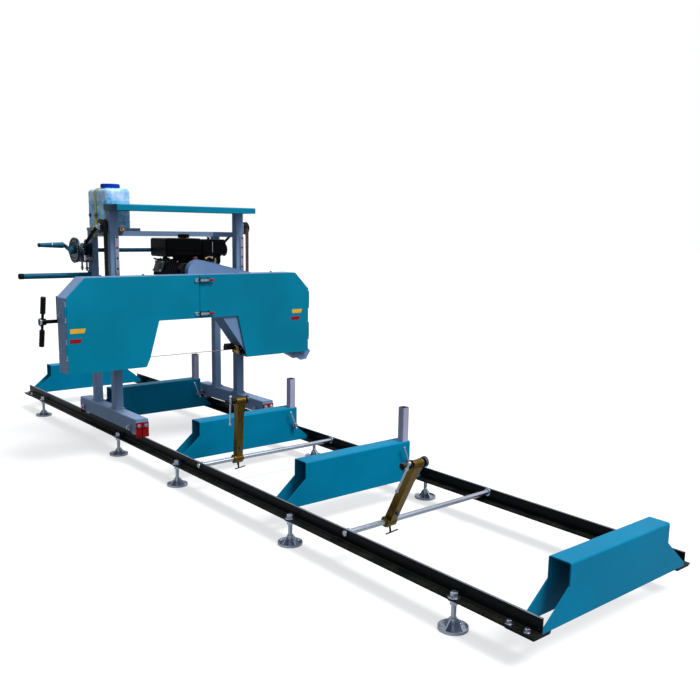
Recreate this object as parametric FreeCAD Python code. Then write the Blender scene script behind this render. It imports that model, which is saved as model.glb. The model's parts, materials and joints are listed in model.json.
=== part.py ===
import FreeCAD, Part
import math, os

os.makedirs("parts", exist_ok=True)
V = FreeCAD.Vector

# Portable band sawmill, in millimetres. X crosses the track, +Y runs along it, +Z is up.
# The floor is z = 0 and the middle of the track is x = 0, y = 0 until everything is shifted at the end.

run_gap = 0.05
slide_gap = 0.5
rest_gap = 0.3

# Track
track_len = 4860
rail_x = 450
rail_web = 6
rail_h = 63
rail_low = 112
base_w = 92
base_t = 7
rail_top = rail_low + rail_h
rail_in = rail_x - rail_web / 2
rail_out = rail_x + rail_web / 2
front_foot_inset = 360
back_foot_inset = 359
front_foot_y = front_foot_inset - track_len / 2
back_foot_y = track_len / 2 - back_foot_inset
left_foot_ys = (front_foot_y, -1077, -15, 747, back_foot_y)
right_foot_ys = (front_foot_y, -987, -15, 747, back_foot_y)
foot_x = rail_out + 22
foot_pad_r = 56
foot_pad_t = 4
foot_rim = 7
foot_stem_r = 9
foot_stem_top = 142
foot_rib_r = 44
foot_rib_h = 38
foot_ribs = 4
foot_hole_r = 5

# Bunks
bunk_w = 90
bunk_y_end = track_len / 2 - bunk_w / 2
bunk_ys = (-bunk_y_end, -931, 61, 1240, bunk_y_end)
bunk_t = 5
bunk_top = 326
bunk_low = rail_low + base_t
bunk_end = 313
bunk_knee = 245
bunk_heel = 134
fold_r = 8
sleeve_w = 52
sleeve_x = 335
sleeve_low = 195
sleeve_heel = 204
stop_w = 40
stop_len = 290
stop_top = 502
stop_wall = 3
screw_r = 6
screw_z = 222
bar_r = 4
bar_long = 88
bar_short = 24
bar_lean = 23

# Clamps
rod_r = 12
rod_z = 157
rod_ys = (-226, -1440)
rod_collar_r = 18
clamp_xs = (-215, -205)
clamp_leans = (3, 27)
collar_r = 24
collar_w = 40
arm_w = 38
arm_wall = 4
arm_len = 232
head_w = 54
head_h = 88
boss_r = 17
boss_w = 56
boss_up = 326
spindle_r = 8
pad_r = 22
pad_t = 8
hub_r = 15
hub_w = 48
t_bar_len = 150
t_bar_r = 4.5

# Carriage
beam_y0 = 460
beam_y1 = 1300
beam_w = 80
beam_h = 83
beam_t = 5
groove_r = 42
wheel_r = 52
wheel_w = 36
groove_w = 10
axle_r = 8
axle_ys = (541, 1240)
axle_z = rail_top + rest_gap + groove_r
beam_top = 278
beam_low = beam_top - beam_h
scraper_t = 6
scraper_up = 62
scraper_down = 7
post_w = 55
post_x = 444
post_y = 813
post_wall = 4
base_plate_t = 6
base_plate_w = 68
strip_w = 24
strip_t = 6
strip_low = 600
strip_top = 1345
hole_r = 5
hole_pitch = 63
rear_w = 50
rear_x = 445
rear_y = 1110
rear_top = 1375
bar_h = 33
bar_w = 36
bar_wall = 3
top_x = 480
top_w = 200
top_h = 36
top_z = 1533
top_y = 749
tray_t = 4
tray_rim = 18
strap_y = 985
handle_r = 17
handle_x = 915
handle_z = 1096

# Water tank
tank_gap = 4
tank_w = 164
tank_l = 278
tank_h = 253
tank_wall = 3
tank_r = 26
cap_r = 56
cap_h = 24
neck_r = 48
neck_h = 14
cap_x = -398
cap_y = 928
rib_zs = (62, 148)
rib_w = 9
rib_d = 1.5

# Lift
pulley_x = 500
pulley_y = 823
pulley_z = 1402
pulley_r = 38
pulley_rim = 43
pulley_w = 34
strap_w = 25
strap_t = 3
shaft_r = 13
shaft_z = 1252
drum_r = 28
drum_rim = 46
plate_x = 532
disc_r = 77
disc_x = 573
disc_holes = 20
crank_r = 104
crank_hub = 24
crank_up = 16
grip_len = 155
grip_r0 = 19
grip_r1 = 12

# Cutting head
cover_x0 = -846
cover_x1 = 841
cover_low = 570
cover_top = 1113
cover_cut = 112
arch_x0 = -281
arch_x1 = 274
arch_top = 845
web_x = 161
web_low = 600
leg_x0 = -370
leg_x1 = 341
leg_nick_x = -345
leg_nick_z = 624
split_x = -3
split_gap = 3
cover_y = 543
door_d = 10
door_t = 2.5
case_d = 133
case_t = 3
case_y0 = cover_y + door_d
case_y1 = case_y0 + case_d
hinge_r = 5
hinge_h = 60
hinge_gap = 0.5
hinge_leaf = 3
hinge_zs = (680, 895)
latch_zs = (1081, 873)
latch_r = 2.5
latch_nose = 9
latch_len = 86
latch_grip = 34
wheel_x = 542
saw_z = 860
saw_r = 240
saw_w = 34
saw_rim = 15
saw_web = 8
saw_hub = 38
saw_y = 608
saw_shaft = 15
band_t = 1.1
band_w = 32
roller_r = 14
guard_d = 46
guard_y0 = case_y1
guard_y1 = guard_y0 + guard_d
guard_t = 3
drive_r = 195
drive_w = 24
groove_h = 7
groove_d = 11
engine_pulley_r = 58
crank_x = 78
crank_z = 1118
spine_y0 = guard_y0 + guard_d + 4
spine_y1 = 772
spine_z0 = 860
spine_z1 = 1000
spine_x = 820
spine_t = 5
collar_z0 = 740
collar_z1 = 1010
collar_t = 8
lug_t = 20
deck_x0 = -80
deck_x1 = 345
deck_y1 = 1012
deck_t = 10
slide_travel = 8
thread_pitch = 4
slide_w = 70
slide_h = 55
handle_bar = 295
handle_hub_r = 19
handle_hub_w = 36
screw_r1 = 11
chute_x0 = 700
chute_x1 = cover_x1 + 44
chute_t = 3
chute_heel = 10
chute_mouth = 40
chute_rise = 26
chute_drop = 62
chute_floor = 12
chute_inset = 20
handle_at = 925
handle_y = 707
handle_lean = 12.5

# Engine
block_x0 = -30
block_x1 = 200
block_y0 = 742
block_y1 = 975
fuel_x0 = -112
fuel_x1 = 140
fuel_y0 = 760
fuel_y1 = 990
fuel_z0 = 1216
fuel_z1 = 1334
fuel_r = 14
fuel_seam = 44
fuel_wall = 3
fuel_neck_r = 22
filter_x1 = 330
filter_low = 226
deck_top = spine_z1 + deck_t
engine_shaft_r = 12
case_h = 165
case_slope = 34
flange_lap = 12
flange_t = 12
shroud_r = 94
shroud_d = 60
shroud_dome = 18
shroud_slots = 16
fin_count = 6
fin_t = 5
fin_pitch = 15
fin_reach = 86
fin_lap = 12
barrel_tip = 18
bowl_r = 20
fuel_cap_x = 62
fuel_cap_y = 860
fuel_cap_r = 36
fuel_cap_h = 24


def box(x0, x1, y0, y1, z0, z1):
    return Part.makeBox(abs(x1 - x0), abs(y1 - y0), abs(z1 - z0), V(min(x0, x1), min(y0, y1), min(z0, z1)))


def rod(r, start, end):
    a, b = V(*start), V(*end)
    return Part.makeCylinder(r, (b - a).Length, a, b - a)


def cone(r0, r1, start, end):
    a, b = V(*start), V(*end)
    return Part.makeCone(r0, r1, (b - a).Length, a, b - a)


def fuse(shapes):
    shapes = list(shapes)
    whole = shapes[0]
    for s in shapes[1:]:
        whole = whole.fuse(s)
    return whole.removeSplitter()


def cut(shape, tools):
    for t in tools:
        shape = shape.cut(t)
    return shape


def plate(points, axis, a, b):
    """A flat outline in the plane across the axis, pushed from a to b along it."""
    place = {"X": lambda u, v: V(a, u, v), "Y": lambda u, v: V(u, a, v), "Z": lambda u, v: V(u, v, a)}[axis]
    push = {"X": V(b - a, 0, 0), "Y": V(0, b - a, 0), "Z": V(0, 0, b - a)}[axis]
    wire = Part.makePolygon([place(u, v) for u, v in points] + [place(*points[0])])
    return Part.Face(wire).extrude(push)


def flip(shape):
    return shape.mirror(V(0, 0, 0), V(1, 0, 0))


def turned(shape, at, axis, angle):
    s = shape.copy()
    s.rotate(V(*at), V(*axis), angle)
    return s


def moved(shape, x, y, z):
    s = shape.copy()
    s.translate(V(x, y, z))
    return s


def folded(width, low, top, wall, radius, length):
    """An inverted channel along X with folded top corners, its open side down, from x = 0."""
    def half(w, r, z0, z1):
        a = w / 2
        k = r * (1 - math.sqrt(0.5))
        edges = [Part.makeLine(V(0, -a, z0), V(0, -a, z1 - r)),
                 Part.Arc(V(0, -a, z1 - r), V(0, -a + k, z1 - k), V(0, -a + r, z1)).toShape(),
                 Part.makeLine(V(0, -a + r, z1), V(0, a - r, z1)),
                 Part.Arc(V(0, a - r, z1), V(0, a - k, z1 - k), V(0, a, z1 - r)).toShape(),
                 Part.makeLine(V(0, a, z1 - r), V(0, a, z0)),
                 Part.makeLine(V(0, a, z0), V(0, -a, z0))]
        return Part.Face(Part.Wire(edges)).extrude(V(length, 0, 0))
    inner = half(width - 2 * wall, radius - wall, low - 5, top - wall)
    inner = moved(inner, -1, 0, 0).fuse(moved(inner, 1, 0, 0))
    return half(width, radius, low, top).cut(inner)


def tube(w, d, wall, x, y, z0, z1):
    outer = box(x - w / 2, x + w / 2, y - d / 2, y + d / 2, z0, z1)
    outer = outer.makeFillet(4, [e for e in outer.Edges if abs(e.tangentAt(e.FirstParameter).z) > 0.9])
    return outer.cut(box(x - w / 2 + wall, x + w / 2 - wall, y - d / 2 + wall, y + d / 2 - wall, z0 - 1, z1 + 1))


# Track and what stands on it

def rail(side):
    half, up, weld = base_w / 2, rail_low + base_t, 4
    points = [(rail_x - half, rail_low), (rail_x + half, rail_low), (rail_x + half, up), (rail_out + weld, up),
              (rail_out, up + weld), (rail_out, rail_top), (rail_in, rail_top), (rail_in, up), (rail_x - half, up)]
    body = plate(points, "Y", -track_len / 2, track_len / 2)
    foot_ys = left_foot_ys if side < 0 else right_foot_ys
    holes = [rod(foot_stem_r + run_gap, (foot_x, y, 0), (foot_x, y, rail_top)) for y in foot_ys]
    holes += [rod(rod_r + run_gap, (0, y, rod_z), (rail_x + 50, y, rod_z)) for y in rod_ys]
    body = cut(body, holes)
    return flip(body) if side < 0 else body


def bunk(y, stop):
    body = moved(folded(bunk_w, bunk_low, bunk_top, bunk_t, fold_r, 2 * rail_in), -rail_in, y, 0)
    edge = bunk_end
    heel = bunk_knee
    if stop:
        edge = sleeve_x + sleeve_w / 2
        heel = sleeve_heel
    outline = [(-rail_in, bunk_low), (rail_in, bunk_low), (rail_in, bunk_heel), (edge, heel), (edge, bunk_top + 1),
               (-bunk_end, bunk_top + 1), (-bunk_end, bunk_knee), (-rail_in, bunk_heel)]
    body = body.common(plate(outline, "Y", y - bunk_w, y + bunk_w))
    if stop:
        h = sleeve_w / 2
        sy = stop_y(y)
        body = body.fuse(box(sleeve_x - h, sleeve_x + h, sy - h, sy + h, sleeve_low, bunk_top - fold_r))
        body = body.fuse(box(sleeve_x - h, sleeve_x + h, sy - h + fold_r, sy + h, sleeve_low, bunk_top))
        g = stop_w / 2 + slide_gap
        body = body.cut(box(sleeve_x - g, sleeve_x + g, sy - g, sy + g, 0, bunk_top + 5))
        body = body.cut(rod(screw_r + run_gap, (sleeve_x, y - bunk_w, screw_z), (sleeve_x, sy, screw_z)))
    return body.removeSplitter()


def stop_y(y):
    return y - bunk_w / 2 + sleeve_w / 2


def stop_post(y):
    sy = stop_y(y)
    body = tube(stop_w, stop_w, stop_wall, sleeve_x, sy, stop_top - stop_len, stop_top)
    h = stop_w / 2
    return fuse([body, box(sleeve_x - h + 2, sleeve_x + h - 2, sy - h + 2, sy + h - 2, stop_top - 5, stop_top - 1)])


def stop_screw(y):
    face = y - bunk_w / 2
    tip = stop_y(y) - stop_w / 2 - rest_gap
    body = rod(screw_r, (sleeve_x, tip, screw_z), (sleeve_x, face - 12, screw_z))
    body = body.fuse(rod(11, (sleeve_x, face - 10, screw_z), (sleeve_x, face - 32, screw_z)))
    bar = rod(bar_r, (sleeve_x, face - 22, screw_z - bar_short), (sleeve_x, face - 22, screw_z + bar_long))
    bar = turned(bar, (sleeve_x, 0, screw_z), (0, 1, 0), -bar_lean)
    return fuse([body, bar])


def clamp_rods():
    rods = []
    for y in rod_ys:
        one = rod(rod_r, (-rail_out - 8, y, rod_z), (rail_out + 8, y, rod_z))
        for s in (-1, 1):
            one = one.fuse(rod(rod_collar_r, (s * (rail_in - 12), y, rod_z), (s * rail_in, y, rod_z)))
        rods.append(one.removeSplitter())
    return Part.makeCompound(rods)


def foot(x, y):
    """A pressed pad with an upturned rim and cross ribs, on a threaded stem with a nut under the rail."""
    r, t = foot_pad_r, foot_pad_t
    body = rod(r, (x, y, 0), (x, y, t + foot_rim))
    body = body.cut(cone(r - 9, r - 3, (x, y, t), (x, y, t + foot_rim)))
    body = body.fuse(rod(foot_stem_r + 5, (x, y, t), (x, y, t + foot_rib_h)))
    body = body.fuse(rod(foot_stem_r, (x, y, t), (x, y, foot_stem_top)))
    rib = plate([(0, t), (foot_rib_r, t), (foot_stem_r + 5, t + foot_rib_h), (0, t + foot_rib_h)], "Y", -3, 3)
    for i in range(foot_ribs):
        body = body.fuse(turned(moved(rib, x, y, 0), (x, y, 0), (0, 0, 1), 360 / foot_ribs * i))
    for i in range(foot_ribs):
        hole = rod(foot_hole_r, (x + r - 16, y, -1), (x + r - 16, y, t + foot_rim))
        body = body.cut(turned(hole, (x, y, 0), (0, 0, 1), 360 / foot_ribs * (i + 0.5)))
    return body.removeSplitter()


def feet():
    spots = [(-foot_x, y) for y in left_foot_ys] + [(foot_x, y) for y in right_foot_ys]
    return Part.makeCompound([foot(x, y) for x, y in spots])


# Log clamps: each is drawn upright over its cross rod, then leaned about it

def lean(shape, i):
    return turned(shape, (0, rod_ys[i], rod_z), (1, 0, 0), clamp_leans[i])


def clamp_collar(i):
    x, y = clamp_xs[i], rod_ys[i]
    body = rod(collar_r, (x - collar_w / 2 - 10, y, rod_z), (x - collar_w / 2, y, rod_z))
    body = body.fuse(rod(collar_r - 6, (x - collar_w / 2, y, rod_z), (x + collar_w / 2 + 8, y, rod_z)))
    body = body.cut(rod(rod_r + run_gap, (x - 200, y, rod_z), (x + 200, y, rod_z)))
    return body.removeSplitter()


def clamp_arm(i):
    x, y = clamp_xs[i], rod_ys[i]
    h = arm_w / 2
    up = rod_z + arm_len
    body = box(x - h, x + h, y - h, y + h, rod_z, up)
    body = body.cut(box(x - h + arm_wall, x + h - arm_wall, y - h + arm_wall, y + h - arm_wall, rod_z + 30, up))
    body = body.fuse(rod(collar_r, (x - collar_w / 2 + 1, y, rod_z), (x + collar_w / 2, y, rod_z)))
    k = head_w / 2
    wedge = plate([(x - h, up), (x + h, up), (x + k + 4, up + head_h), (x - k + 6, up + head_h)], "Y", y - h, y + h)
    body = body.fuse(wedge)
    z = rod_z + boss_up
    body = body.fuse(rod(boss_r, (x - boss_w / 2 + 6, y, z), (x + boss_w / 2 + 6, y, z)))
    body = body.cut(rod(spindle_r + run_gap, (x - 200, y, z), (x + 200, y, z)))
    body = body.cut(rod(collar_r - 6 + run_gap, (x - 200, y, rod_z), (x + 200, y, rod_z)))
    pin = rod(6, (x + 2, y, rod_z - collar_r + 4), (x + 2, y, rod_z - collar_r - 14))
    body = body.fuse(pin)
    return lean(body.removeSplitter(), i)


def clamp_spindle(i):
    x, y, z = clamp_xs[i], rod_ys[i], rod_z + boss_up
    far = x + boss_w / 2 + 6
    body = rod(spindle_r, (x - boss_w / 2 - hub_w, y, z), (far + 10, y, z))
    body = body.fuse(rod(pad_r, (far + 8, y, z), (far + 8 + pad_t, y, z)))
    return lean(body.removeSplitter(), i)


def clamp_handle(i):
    x, y, z = clamp_xs[i] - boss_w / 2, rod_ys[i], rod_z + boss_up
    body = rod(hub_r, (x - 4, y, z), (x - 4 - hub_w, y, z))
    bar_x = x - 4 - hub_w + 12
    bar = rod(t_bar_r, (bar_x, y - hub_r - 4, z + 30), (bar_x, y - hub_r - 4, z + 30 - t_bar_len))
    bar = bar.fuse(Part.makeSphere(8, V(bar_x, y - hub_r - 4, z + 32)))
    bar = turned(bar, (bar_x, y, z), (1, 0, 0), 0)
    body = body.fuse(bar).fuse(rod(8, (bar_x, y, z), (bar_x, y - hub_r - 8, z)))
    body = body.cut(rod(spindle_r + run_gap, (x - 200, y, z), (x + 200, y, z)))
    return lean(body.removeSplitter(), i)


# Carriage

def carriage_beam(side):
    body = turned(folded(beam_w, beam_low, beam_top, beam_t, fold_r, beam_y1 - beam_y0), (0, 0, 0), (0, 0, 1), 90)
    body = moved(body, rail_x, beam_y0, 0)
    for y in axle_ys:
        body = body.cut(rod(axle_r + run_gap, (rail_x - beam_w, y, axle_z), (rail_x + beam_w, y, axle_z)))
    return flip(body) if side < 0 else body


def track_wheel(x, y):
    w = wheel_w / 2
    g = groove_w / 2
    profile = [(0, -w - 14), (axle_r + 6, -w - 14), (axle_r + 6, -w), (wheel_r - 4, -w), (wheel_r, -w + 3), (wheel_r, -g - 3),
               (groove_r, -g), (groove_r, g), (wheel_r, g + 3), (wheel_r, w - 3), (wheel_r - 4, w), (axle_r + 6, w),
               (axle_r + 6, w + 14), (0, w + 14)]
    wire = Part.makePolygon([V(a, r, 0) for r, a in profile] + [V(profile[0][1], profile[0][0], 0)])
    body = Part.Face(wire).revolve(V(0, 0, 0), V(1, 0, 0), 360)
    body = body.fuse(rod(axle_r, (-beam_w / 2 - 8, 0, 0), (beam_w / 2 + 8, 0, 0)))
    for s in (-1, 1):
        body = body.fuse(rod(axle_r + 5, (s * (beam_w / 2 + 0.5), 0, 0), (s * (beam_w / 2 + 9), 0, 0)))
    return moved(body.removeSplitter(), x, y, axle_z)


def track_wheels(y):
    return Part.makeCompound([track_wheel(s * rail_x, y) for s in (-1, 1)])


def scrapers():
    parts = []
    for side in (-1, 1):
        for y, out in ((beam_y0, -1), (beam_y1, 1)):
            h = beam_w / 2
            z0, z1 = rail_top - scraper_down, beam_low + scraper_up
            notch = rail_web / 2 + 1.5
            a, b = (y - scraper_t, y) if out < 0 else (y, y + scraper_t)
            body = box(side * rail_x - h, side * rail_x + h, a, b, z0, z1)
            body = body.cut(box(side * rail_x - notch, side * rail_x + notch, a - 1, b + 1, z0 - 1, rail_top + 3))
            c, d = (y - 14, y - scraper_t) if out < 0 else (y + scraper_t, y + 14)
            body = body.fuse(box(side * rail_x - 3, side * rail_x + 3, c, d, rail_top + 3, z1 - 24))
            parts.append(body.removeSplitter())
    return Part.makeCompound(parts)


def strip_holes():
    zs = []
    z = strip_top - 8
    while z > strip_low + 10:
        zs.append(z)
        z -= hole_pitch
    return zs


def base_plate(x, y):
    """The plate that a post stands on, with a hole under the post's bore."""
    h = base_plate_w / 2
    hole = post_w / 2 - post_wall - 4
    body = box(x - h, x + h, y - h, y + h, beam_top, beam_top + base_plate_t)
    return body.cut(rod(hole, (x, y, beam_top - 1), (x, y, beam_top + base_plate_t + 1)))


def front_posts():
    parts = []
    for s in (-1, 1):
        x = s * post_x
        body = tube(post_w, post_w, post_wall, x, post_y, beam_top, top_z - beam_t).fuse(base_plate(x, post_y))
        face = post_y - post_w / 2
        strip = box(x + 2, x + 2 + strip_w, face - strip_t, face, strip_low, strip_top)
        holes = [rod(hole_r, (x + 2 + strip_w / 2, face - strip_t - 1, z), (x + 2 + strip_w / 2, face - 2, z)) for z in strip_holes()]
        parts.append(cut(body.fuse(strip).removeSplitter(), holes))
    return parts


def rear_posts():
    parts = []
    for s in (-1, 1):
        body = tube(rear_w, rear_w, post_wall, s * rear_x, rear_y, beam_top, rear_top).fuse(base_plate(s * rear_x, rear_y))
        parts.append(body.cut(rod(shaft_r + run_gap, (s * (rear_x - rear_w), rear_y, shaft_z),
                              (s * (rear_x + rear_w), rear_y, shaft_z))))
    return parts


def mast_bars():
    z0, z1 = rear_top - bar_h, rear_top
    x = rear_x - rear_w / 2
    h, t = bar_w / 2, bar_wall
    cross = box(-x, x, rear_y - h, rear_y + h, z0, z1)
    parts = [cross.cut(box(-x - 1, x + 1, rear_y - h + t, rear_y + h - t, z0 + t, z1 - t))]
    for s in (-1, 1):
        y0, y1 = post_y + post_w / 2, rear_y - rear_w / 2
        side = box(s * rear_x - h, s * rear_x + h, y0, y1, z0, z1)
        parts.append(side.cut(box(s * rear_x - h + t, s * rear_x + h - t, y0 - 1, y1 + 1, z0 + t, z1 - t)))
    return parts


def tank_x0():
    return -rear_x - rear_w / 2 + 2


def tank_y0():
    return post_y + post_w / 2 + 10


def tank_tray():
    x0, x1 = tank_x0() - tray_t, tank_x0() + tank_w + 60
    y0, y1 = tank_y0() - tray_t, rear_y + rear_w / 2
    z = rear_top
    body = box(x0, x1, y0, y1, z, z + tray_t)
    for a in (box(x0, x1, y0, y0 + tray_t, z, z + tray_rim), box(x0, x1, y1 - tray_t, y1, z, z + tray_rim),
              box(x0, x0 + tray_t, y0, y1, z, z + tray_rim), box(x1 - tray_t, x1, y0, y1, z, z + tray_rim)):
        body = body.fuse(a)
    return body.removeSplitter()


def top_beam():
    body = folded(top_w, top_z - top_h, top_z, beam_t, fold_r, 2 * top_x)
    return moved(body, -top_x, top_y, 0)


def push_handle():
    x = -rear_x - rear_w / 2
    body = rod(handle_r, (x, rear_y, handle_z), (-handle_x, rear_y, handle_z))
    body = body.cut(rod(handle_r - 3, (x + 1, rear_y, handle_z), (-handle_x + 12, rear_y, handle_z)))
    end = [e for e in body.Edges if e.BoundBox.XMax < -handle_x + 1]
    body = body.makeFillet(6, end)
    flange = box(x - 6, x, rear_y - 24, rear_y + 24, handle_z - 30, handle_z + 30)
    flange = flange.cut(rod(handle_r, (x - 8, rear_y, handle_z), (x + 2, rear_y, handle_z)))
    return body.fuse(flange).removeSplitter()


def tank_box(grow, y0, y1, z0):
    """The tank's block grown all round, from z0 up to its top, with its lengthwise edges rounded."""
    x0, x1, top = tank_x0() + tank_gap, tank_x0() + tank_gap + tank_w, rear_top + tray_t + tank_h
    shape = box(x0 - grow, x1 + grow, y0, y1, z0, top + grow)
    edges = [e for e in shape.Edges if abs(e.tangentAt(e.FirstParameter).y) > 0.9 and e.BoundBox.ZMin > top - 1]
    return shape.makeFillet(tank_r + grow, edges)


def water_tank():
    y0, z0, k = tank_y0() + 1, rear_top + tray_t, tank_wall
    x0, x1, top = tank_x0() + tank_gap, tank_x0() + tank_gap + tank_w, z0 + tank_h
    shell = box(x0, x1, y0, y0 + tank_l, z0, top)
    shell = shell.makeFillet(tank_r, shell.Edges)
    inner = box(x0 + k, x1 - k, y0 + k, y0 + tank_l - k, z0 + k, top - k)
    inner = inner.makeFillet(tank_r - k, inner.Edges)
    cx, cy = cap_x, cap_y
    body = shell.fuse(rod(neck_r, (cx, cy, top - 6), (cx, cy, top + neck_h)))
    for z in rib_zs:
        groove = box(x0 - 5, x1 + 5, y0 - 5, y0 + tank_l + 5, z0 + z, z0 + z + rib_w)
        core = box(x0 + rib_d, x1 - rib_d, y0 + rib_d, y0 + tank_l - rib_d, z0 + z - 1, z0 + z + rib_w + 1)
        core = core.makeFillet(tank_r - rib_d, [e for e in core.Edges if abs(e.tangentAt(e.FirstParameter).z) > 0.9])
        body = body.cut(groove.cut(core))
    body = body.cut(inner).cut(rod(neck_r - 5, (cx, cy, top - 20), (cx, cy, top + neck_h + 1)))
    return body.removeSplitter()


def tank_strap():
    y0, y1, z0 = strap_y, strap_y + strap_w, rear_top + tray_t
    band = tank_box(rest_gap + strap_t, y0, y1, z0)
    return band.cut(tank_box(rest_gap, y0 - 1, y1 + 1, z0 - 1))


def tank_cap():
    cx, cy = cap_x, cap_y
    z = rear_top + tray_t + tank_h + 2
    body = rod(cap_r, (cx, cy, z), (cx, cy, z + cap_h))
    body = body.makeFillet(4, [e for e in body.Edges if e.BoundBox.ZMin > z + cap_h - 1])
    return body.cut(rod(neck_r + run_gap, (cx, cy, z - 1), (cx, cy, z + neck_h - 2 + rest_gap)))


# Lift

def lift_pulleys():
    parts = []
    for s in (-1, 1):
        x = s * pulley_x
        h = pulley_w / 2
        body = rod(pulley_r, (x - h, pulley_y, pulley_z), (x + h, pulley_y, pulley_z))
        for k in (-1, 1):
            body = body.fuse(rod(pulley_rim, (x + k * h, pulley_y, pulley_z), (x + k * (h - 3), pulley_y, pulley_z)))
        body = body.cut(rod(axle_r + run_gap, (x - 50, pulley_y, pulley_z), (x + 50, pulley_y, pulley_z)))
        parts.append(body.removeSplitter())
    return Part.makeCompound(parts)


def pulley_pins():
    parts = []
    for s in (-1, 1):
        x = s * (post_x + post_w / 2)
        far = s * (pulley_x + pulley_w / 2 + 6)
        pin = rod(axle_r, (x, pulley_y, pulley_z), (far, pulley_y, pulley_z))
        pin = pin.fuse(rod(axle_r + 5, (s * (pulley_x + pulley_w / 2 + 1), pulley_y, pulley_z), (far, pulley_y, pulley_z)))
        pin = pin.fuse(box(x, x + s * 6, post_y - 26, post_y + 26, pulley_z - 30, pulley_z + 30))
        parts.append(pin.removeSplitter())
    return parts


def strap_path():
    """Where the strap leaves the drum and meets the pulley, both on their upper sides."""
    r0, r1 = drum_r + strap_t, pulley_r + strap_t
    dy, dz = rear_y - pulley_y, shaft_z - pulley_z
    d = math.hypot(dy, dz)
    turn = math.acos((r1 - r0) / d)
    a = math.atan2(dz, dy) + turn
    return a


def winch_straps():
    a = strap_path()
    parts = []
    for s in (-1, 1):
        x0 = s * pulley_x - strap_w / 2
        shapes = []
        p = {}
        for name, cy, cz, r in (("p", pulley_y, pulley_z, pulley_r), ("d", rear_y, shaft_z, drum_r)):
            for side, rr in (("in", r + rest_gap), ("out", r + strap_t)):
                p[name + side] = (cy + rr * math.cos(a), cz + rr * math.sin(a))
        shapes.append(plate([p["pin"], p["pout"], p["dout"], p["din"]], "X", x0, x0 + strap_w))
        ring = rod(pulley_r + strap_t, (x0, pulley_y, pulley_z), (x0 + strap_w, pulley_y, pulley_z))
        ring = ring.cut(rod(pulley_r + rest_gap, (x0 - 1, pulley_y, pulley_z), (x0 + strap_w + 1, pulley_y, pulley_z)))
        far = 90
        wedge = plate([(pulley_y, pulley_z), (pulley_y + far * math.cos(a), pulley_z + far * math.sin(a)),
                       (pulley_y - far, pulley_z + far), (pulley_y - far, pulley_z)], "X", x0 - 1, x0 + strap_w + 1)
        shapes.append(ring.common(wedge))
        wrap = rod(drum_r + strap_t, (x0, rear_y, shaft_z), (x0 + strap_w, rear_y, shaft_z))
        shapes.append(wrap.cut(rod(drum_r + rest_gap, (x0 - 1, rear_y, shaft_z), (x0 + strap_w + 1, rear_y, shaft_z))))
        parts.append(fuse(shapes))
    return Part.makeCompound(parts)


def lift_straps():
    """The upright runs, from the lugs on the head up to the pulleys."""
    parts = []
    for s in (-1, 1):
        x0 = s * pulley_x - strap_w / 2
        y = pulley_y - pulley_r
        parts.append(box(x0, x0 + strap_w, y - strap_t, y - rest_gap, collar_z1, pulley_z))
    return Part.makeCompound(parts)


def winch_drum():
    body = rod(shaft_r, (-disc_x - crank_hub + 5, rear_y, shaft_z), (pulley_x + 34, rear_y, shaft_z))
    for s in (-1, 1):
        x = s * pulley_x
        h = strap_w / 2 + 2
        body = body.fuse(rod(drum_r, (x - h, rear_y, shaft_z), (x + h, rear_y, shaft_z)))
        for k in (-1, 1):
            body = body.fuse(rod(drum_rim, (x + k * h, rear_y, shaft_z), (x + k * (h + 3), rear_y, shaft_z)))
    return body.removeSplitter()


def winch_frame():
    x0 = rear_x + rear_w / 2
    y0, y1, z0 = rear_y - 62, rear_y + 62, shaft_z - 74
    foot_plate = box(-x0 - 5, -x0, y0, y1, z0, shaft_z + 66)
    foot_plate = foot_plate.cut(rod(shaft_r + run_gap, (-plate_x, rear_y, shaft_z), (-rear_x, rear_y, shaft_z)))
    floor = box(-plate_x, -x0, y0, y1, z0, z0 + 5)
    side = plate([(y0, z0), (y1, z0), (y1, z0 + 40), (rear_y + 30, shaft_z + 34), (rear_y - 30, shaft_z + 34), (y0, z0 + 40)],
                 "X", -plate_x, -plate_x + 5)
    box_r = 40
    housing = rod(box_r, (-plate_x - 24, rear_y, shaft_z), (-plate_x, rear_y, shaft_z))
    disc = rod(disc_r, (-disc_x, rear_y, shaft_z), (-plate_x - 22, rear_y, shaft_z))
    disc = disc.cut(rod(disc_r - 8, (-disc_x - 1, rear_y, shaft_z), (-disc_x + 3, rear_y, shaft_z)))
    body = fuse([foot_plate, floor, side, housing, disc])
    body = body.cut(rod(shaft_r + run_gap, (-2 * disc_x, rear_y, shaft_z), (-plate_x + 6, rear_y, shaft_z)))
    for i in range(disc_holes):
        a = 2 * math.pi * i / disc_holes
        y, z = rear_y + 58 * math.cos(a), shaft_z + 58 * math.sin(a)
        body = body.cut(rod(5, (-disc_x - 5, y, z), (-plate_x - 2, y, z)))
    return body.removeSplitter()


def winch_crank():
    """A hub on the shaft's end, a flat arm and a tapered grip that stands out along the shaft."""
    x, z = -disc_x - rest_gap, shaft_z
    far = rear_y + crank_r
    body = rod(24, (x, rear_y, z), (x - crank_hub, rear_y, z))
    arm = plate([(rear_y, z - 15), (far, z - 11), (far, z + 11), (rear_y, z + 15)], "X", x - crank_hub, x - crank_hub + 8)
    tip = rod(11, (x - crank_hub, far, z), (x - crank_hub + 8, far, z))
    grip = cone(grip_r0, grip_r1, (x - crank_hub - 2, far, z), (x - crank_hub - 2 - grip_len, far, z))
    pin = rod(7, (x - crank_hub + 8, far, z), (x - crank_hub - 10, far, z))
    body = fuse([body, arm, tip, grip, pin])
    body = body.cut(rod(shaft_r + run_gap, (x + 1, rear_y, z), (x - crank_hub + 4, rear_y, z)))
    return turned(body, (0, rear_y, z), (1, 0, 0), crank_up)


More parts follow.
